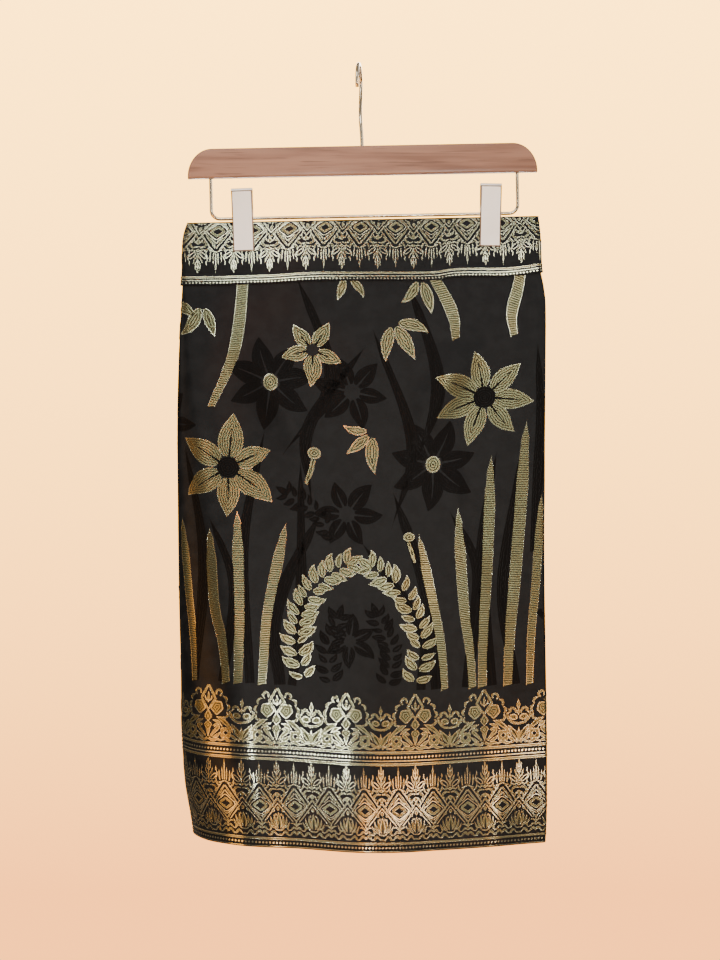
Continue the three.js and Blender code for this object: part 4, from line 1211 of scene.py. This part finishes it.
# the back, in the same manner
clump(
    470, (470, 450, 54), (520, 384, 49), 6,
    [(-22, (438, 290), (426, 420), 14.0, 0.0), (2, (466, 286), (462, 394), 13.0, 0.0),
     (13, (492, 250), (498, 346), 12.0, 0.4), (40, (520, 240), (538, 326), 11.0, 0.2)],
    [(-4, (474, 300), (460, 400), 15), (22, (480, 280), (508, 336), 16), (50, (528, 260), (560, 356), 18),
     (-32, (450, 280), (424, 430), 14)],
)
clump(
    668, (674, 400, 54), (632, 484, 49), 7,
    [(-34, (628, 256), (614, 340), 12.0, -0.2), (-8, (660, 250), (664, 350), 13.0, 0.0),
     (4, (686, 250), (692, 334), 12.0, 0.4), (38, (712, 262), (722, 350), 11.0, 0.1)],
    [(-16, (662, 300), (640, 430), 15), (10, (668, 260), (694, 350), 14), (42, (704, 290), (728, 410), 14),
     (-46, (626, 240), (584, 346), 18)],
)
strap(gold, [(500, 496), (502, 540), (522, 590)], [(0, 9), (0.5, 13), (1, 12)], 0.3)
strap(gold, [(694, 462), (676, 516), (668, 590)], [(0, 8), (0.5, 13), (1, 12)], -0.3)
strap(gold, [(420, 436), (432, 510), (424, 590)], [(0, 8), (0.5, 12), (1, 11)], 0.1)
strap(gold, [(742, 280), (728, 400), (744, 500)], [(0, 9), (0.5, 12), (1, 9)], 0.0)
flower(gold, 592, 522, 36, 5, 0.4, heart=6, wide=0.6, slit=0.4)
drooping(gold, 568, 452, 31, [(-0.1, 0.85), (-0.9, 1.0), (-1.7, 1.15)])
drooping(gold, 398, 552, 33, [(-2.8, 1.0), (-2.0, 1.15), (-1.2, 1.0)])
drooping(gold, 732, 570, 29, [(-1.2, 1.1), (-2.05, 0.95)])
budOnStem(gold, 600, 404, 16, 7)
flower(black, 564, 334, 38, 6, 0.5, heart=8, rise=blackRise)
flower(black, 742, 224, 36, 6, 0.5, heart=8, rise=blackRise)
flower(black, 396, 426, 38, 6, 0.1, heart=8, rise=blackRise)
blade(black, [(556, 400), (532, 480), (560, 588)], 22, rise=blackRise, foot=0.05)
blade(black, [(612, 360), (640, 420), (602, 520)], 20, rise=blackRise, foot=0.05)
leafySpray(gold, [(606, 166), (612, 204), (602, 244), (580, 268)], 15.5)
leafySpray(gold, [(560, 166), (552, 200), (556, 236)], 15.5)
leafySpray(gold, [(740, 168), (732, 206), (744, 250)], 14)
leafySpray(gold, [(396, 168), (404, 210), (396, 254)], 14)
leafySpray(black, [(584, 260), (596, 306), (630, 336)], 13, rise=blackRise)

underBand = 50  # how far below the tube's top the flowers stop, under the waistband
goldFlowers = wovenPiece("goldFlowers", gold, tubeGrid, tube["girth"], made["gold"], tubeProfile,
                         lift=0.05, clipGap=underBand)
blackFlowers = wovenPiece("blackFlowers", black, tubeGrid, tube["girth"], made["black"], tubeProfile,
                          clipGap=underBand)
print("patterns woven")


# Hanger: softened copies of the solids, and round wires along their own lines
softening = {"merge": 0.00002, "flat": 1.5, "bevelAngle": 28, "smoothAngle": 35}  # degrees, merge in metres
# where the plates' painted edge shade goes: a rim inside their wide faces, all but the top lip
plateEdges = {"rim": 0.0011, "lip": 0.003, "facing": 0.93, "faceArea": 1e-4}


def softened(name, source, width, segments, material, edgeShadeMaterial=None):
    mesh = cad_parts[source].data.copy()
    mesh.name = name
    obj = bpy.data.objects.new(name, mesh)
    bpy.context.scene.collection.objects.link(obj)
    mesh.materials.clear()
    mesh.materials.append(material)
    pick(obj)
    bpy.ops.object.mode_set(mode="EDIT")
    bpy.ops.mesh.select_all(action="SELECT")
    bpy.ops.mesh.remove_doubles(threshold=softening["merge"])
    bpy.ops.mesh.dissolve_limited(angle_limit=math.radians(softening["flat"]))
    bpy.ops.mesh.normals_make_consistent(inside=False)
    bpy.ops.object.mode_set(mode="OBJECT")
    bevel = obj.modifiers.new("softEdges", "BEVEL")
    bevel.width, bevel.segments, bevel.limit_method = width, segments, "ANGLE"
    bevel.angle_limit = math.radians(softening["bevelAngle"])
    bevel.use_clamp_overlap = True
    bpy.ops.object.modifier_apply(modifier=bevel.name)
    if edgeShadeMaterial:  # painted shade on a plate's sheared edges and a narrow rim inside them, but not on its top lip
        obj.data.materials.append(edgeShadeMaterial)
        shape = bmesh.new()
        shape.from_mesh(obj.data)
        wide = [face for face in shape.faces
                if abs(face.normal.y) > plateEdges["facing"] and face.calc_area() > plateEdges["faceArea"]]
        bmesh.ops.inset_region(shape, faces=wide, thickness=plateEdges["rim"], use_even_offset=True,
                               use_boundary=True)
        lip = max(corner.co.z for corner in shape.verts) - plateEdges["lip"]
        for face in shape.faces:
            face.material_index = 0 if face in wide or face.calc_center_median().z > lip else 1
        shape.to_mesh(obj.data)
        shape.free()
    bpy.ops.object.shade_smooth_by_angle(angle=math.radians(softening["smoothAngle"]))
    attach(obj, "root")
    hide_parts(source)
    return obj


def wire(name, points, diameter, source):
    curve = bpy.data.curves.new(name, "CURVE")
    curve.dimensions, curve.bevel_depth, curve.bevel_resolution = "3D", diameter * mm / 2, 6
    curve.use_fill_caps = True
    spline = curve.splines.new("POLY")
    spline.points.add(len(points) - 1)
    for k, p in enumerate(points):
        spline.points[k].co = (*(np.asarray(p) * mm), 1)
    obj = bpy.data.objects.new(name, curve)
    bpy.context.scene.collection.objects.link(obj)
    pick(obj)
    bpy.ops.object.convert(target="MESH")
    obj = bpy.context.object
    bpy.ops.object.shade_smooth_by_angle(angle=math.radians(40))
    obj.data.materials.clear()
    obj.data.materials.append(made["wire"])
    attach(obj, "root")
    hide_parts(source)


def inHanger(p):  # from the hanger's own lines to the shared frame
    x, y, z = p
    c, s = math.cos(hanger["tilt"]), math.sin(hanger["tilt"])
    return (hanger["footX"] + x * c - z * s, y, hanger["footZ"] + x * s + z * c)


hook = {"wire": 3.6, "radius": 19, "turn": math.radians(6), "socket": 12, "arc": (-22, 203)}
rod = {"wire": 3.4, "span": 316, "offset": 1.4, "corner": 9, "socket": 12}


def hookPoints():
    points = []
    crown = hook["wire"] / 2 - hook["radius"]

    def place(y, z, swing):
        x = hanger["footX"] * (1 - swing)
        points.append((x + y * math.sin(hook["turn"]), y * math.cos(hook["turn"]), z))

    stem = [(0, -hook["socket"], 0), (0, 4, 0), (0, 16, 0.2), (0.6, 25, 0.45), (5, 36, 0.7), (12.5, 47, 0.9)]
    for y, rise, swing in stem:
        place(y, hanger["footZ"] + rise, swing)
    for angle in np.radians(np.linspace(*hook["arc"], 33)):
        place(hook["radius"] * math.cos(angle), crown + hook["radius"] * math.sin(angle), 1)
    return smoothLine(points, 1.5)


def rodPoints():
    low = -hanger["barHeight"] - hanger["rodDrop"]
    sides = []
    for side in (-1, 1):
        x = rod["offset"] + side * rod["span"] / 2
        leg = [(x, 0, -hanger["barHeight"] + rod["socket"])]
        for angle in np.radians(np.linspace(0, 90, 13)):
            leg.append((x + side * rod["corner"] * (math.cos(angle) - 1), 0,
                        low + rod["corner"] * (1 - math.sin(angle))))
        sides.append(leg)
    return [inHanger(p) for p in sides[0] + sides[1][::-1]]


softened("hangerBarWood", "hanger_bar", 0.0011, 3, made["wood"])
wire("hookWire", hookPoints(), hook["wire"], "hook")
wire("clipRodWire", rodPoints(), rod["wire"], "clip_rod")
for side in ("left", "right"):
    for face in ("front", "back"):
        softened(f"{side}{face.capitalize()}JawPlate", f"clip_{side}_{face}_jaw", 0.0004, 2,
                             made["plate"], edgeShadeMaterial=made["plateEdgeShade"])
    softened(f"{side}ClipSpring", f"clip_{side}_spring", 0.00018, 2, made["plate"])
print("hanger made")

clothSlots = (
    (tubeCloth, "brocade"), (waistbandCloth, "border_brocade"), (hemFiligree, "border_brocade"),
    (hemLines, "border_brocade"), (hemBuds, "border_brocade"), (waistbandPattern, "border_brocade"),
    (goldFlowers, "brocade"), (blackFlowers, "brocade"),
)
for piece, slotName in clothSlots:
    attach(piece, "root")
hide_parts("front_panel", "back_panel")
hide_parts("waistband_front", "waistband_back")
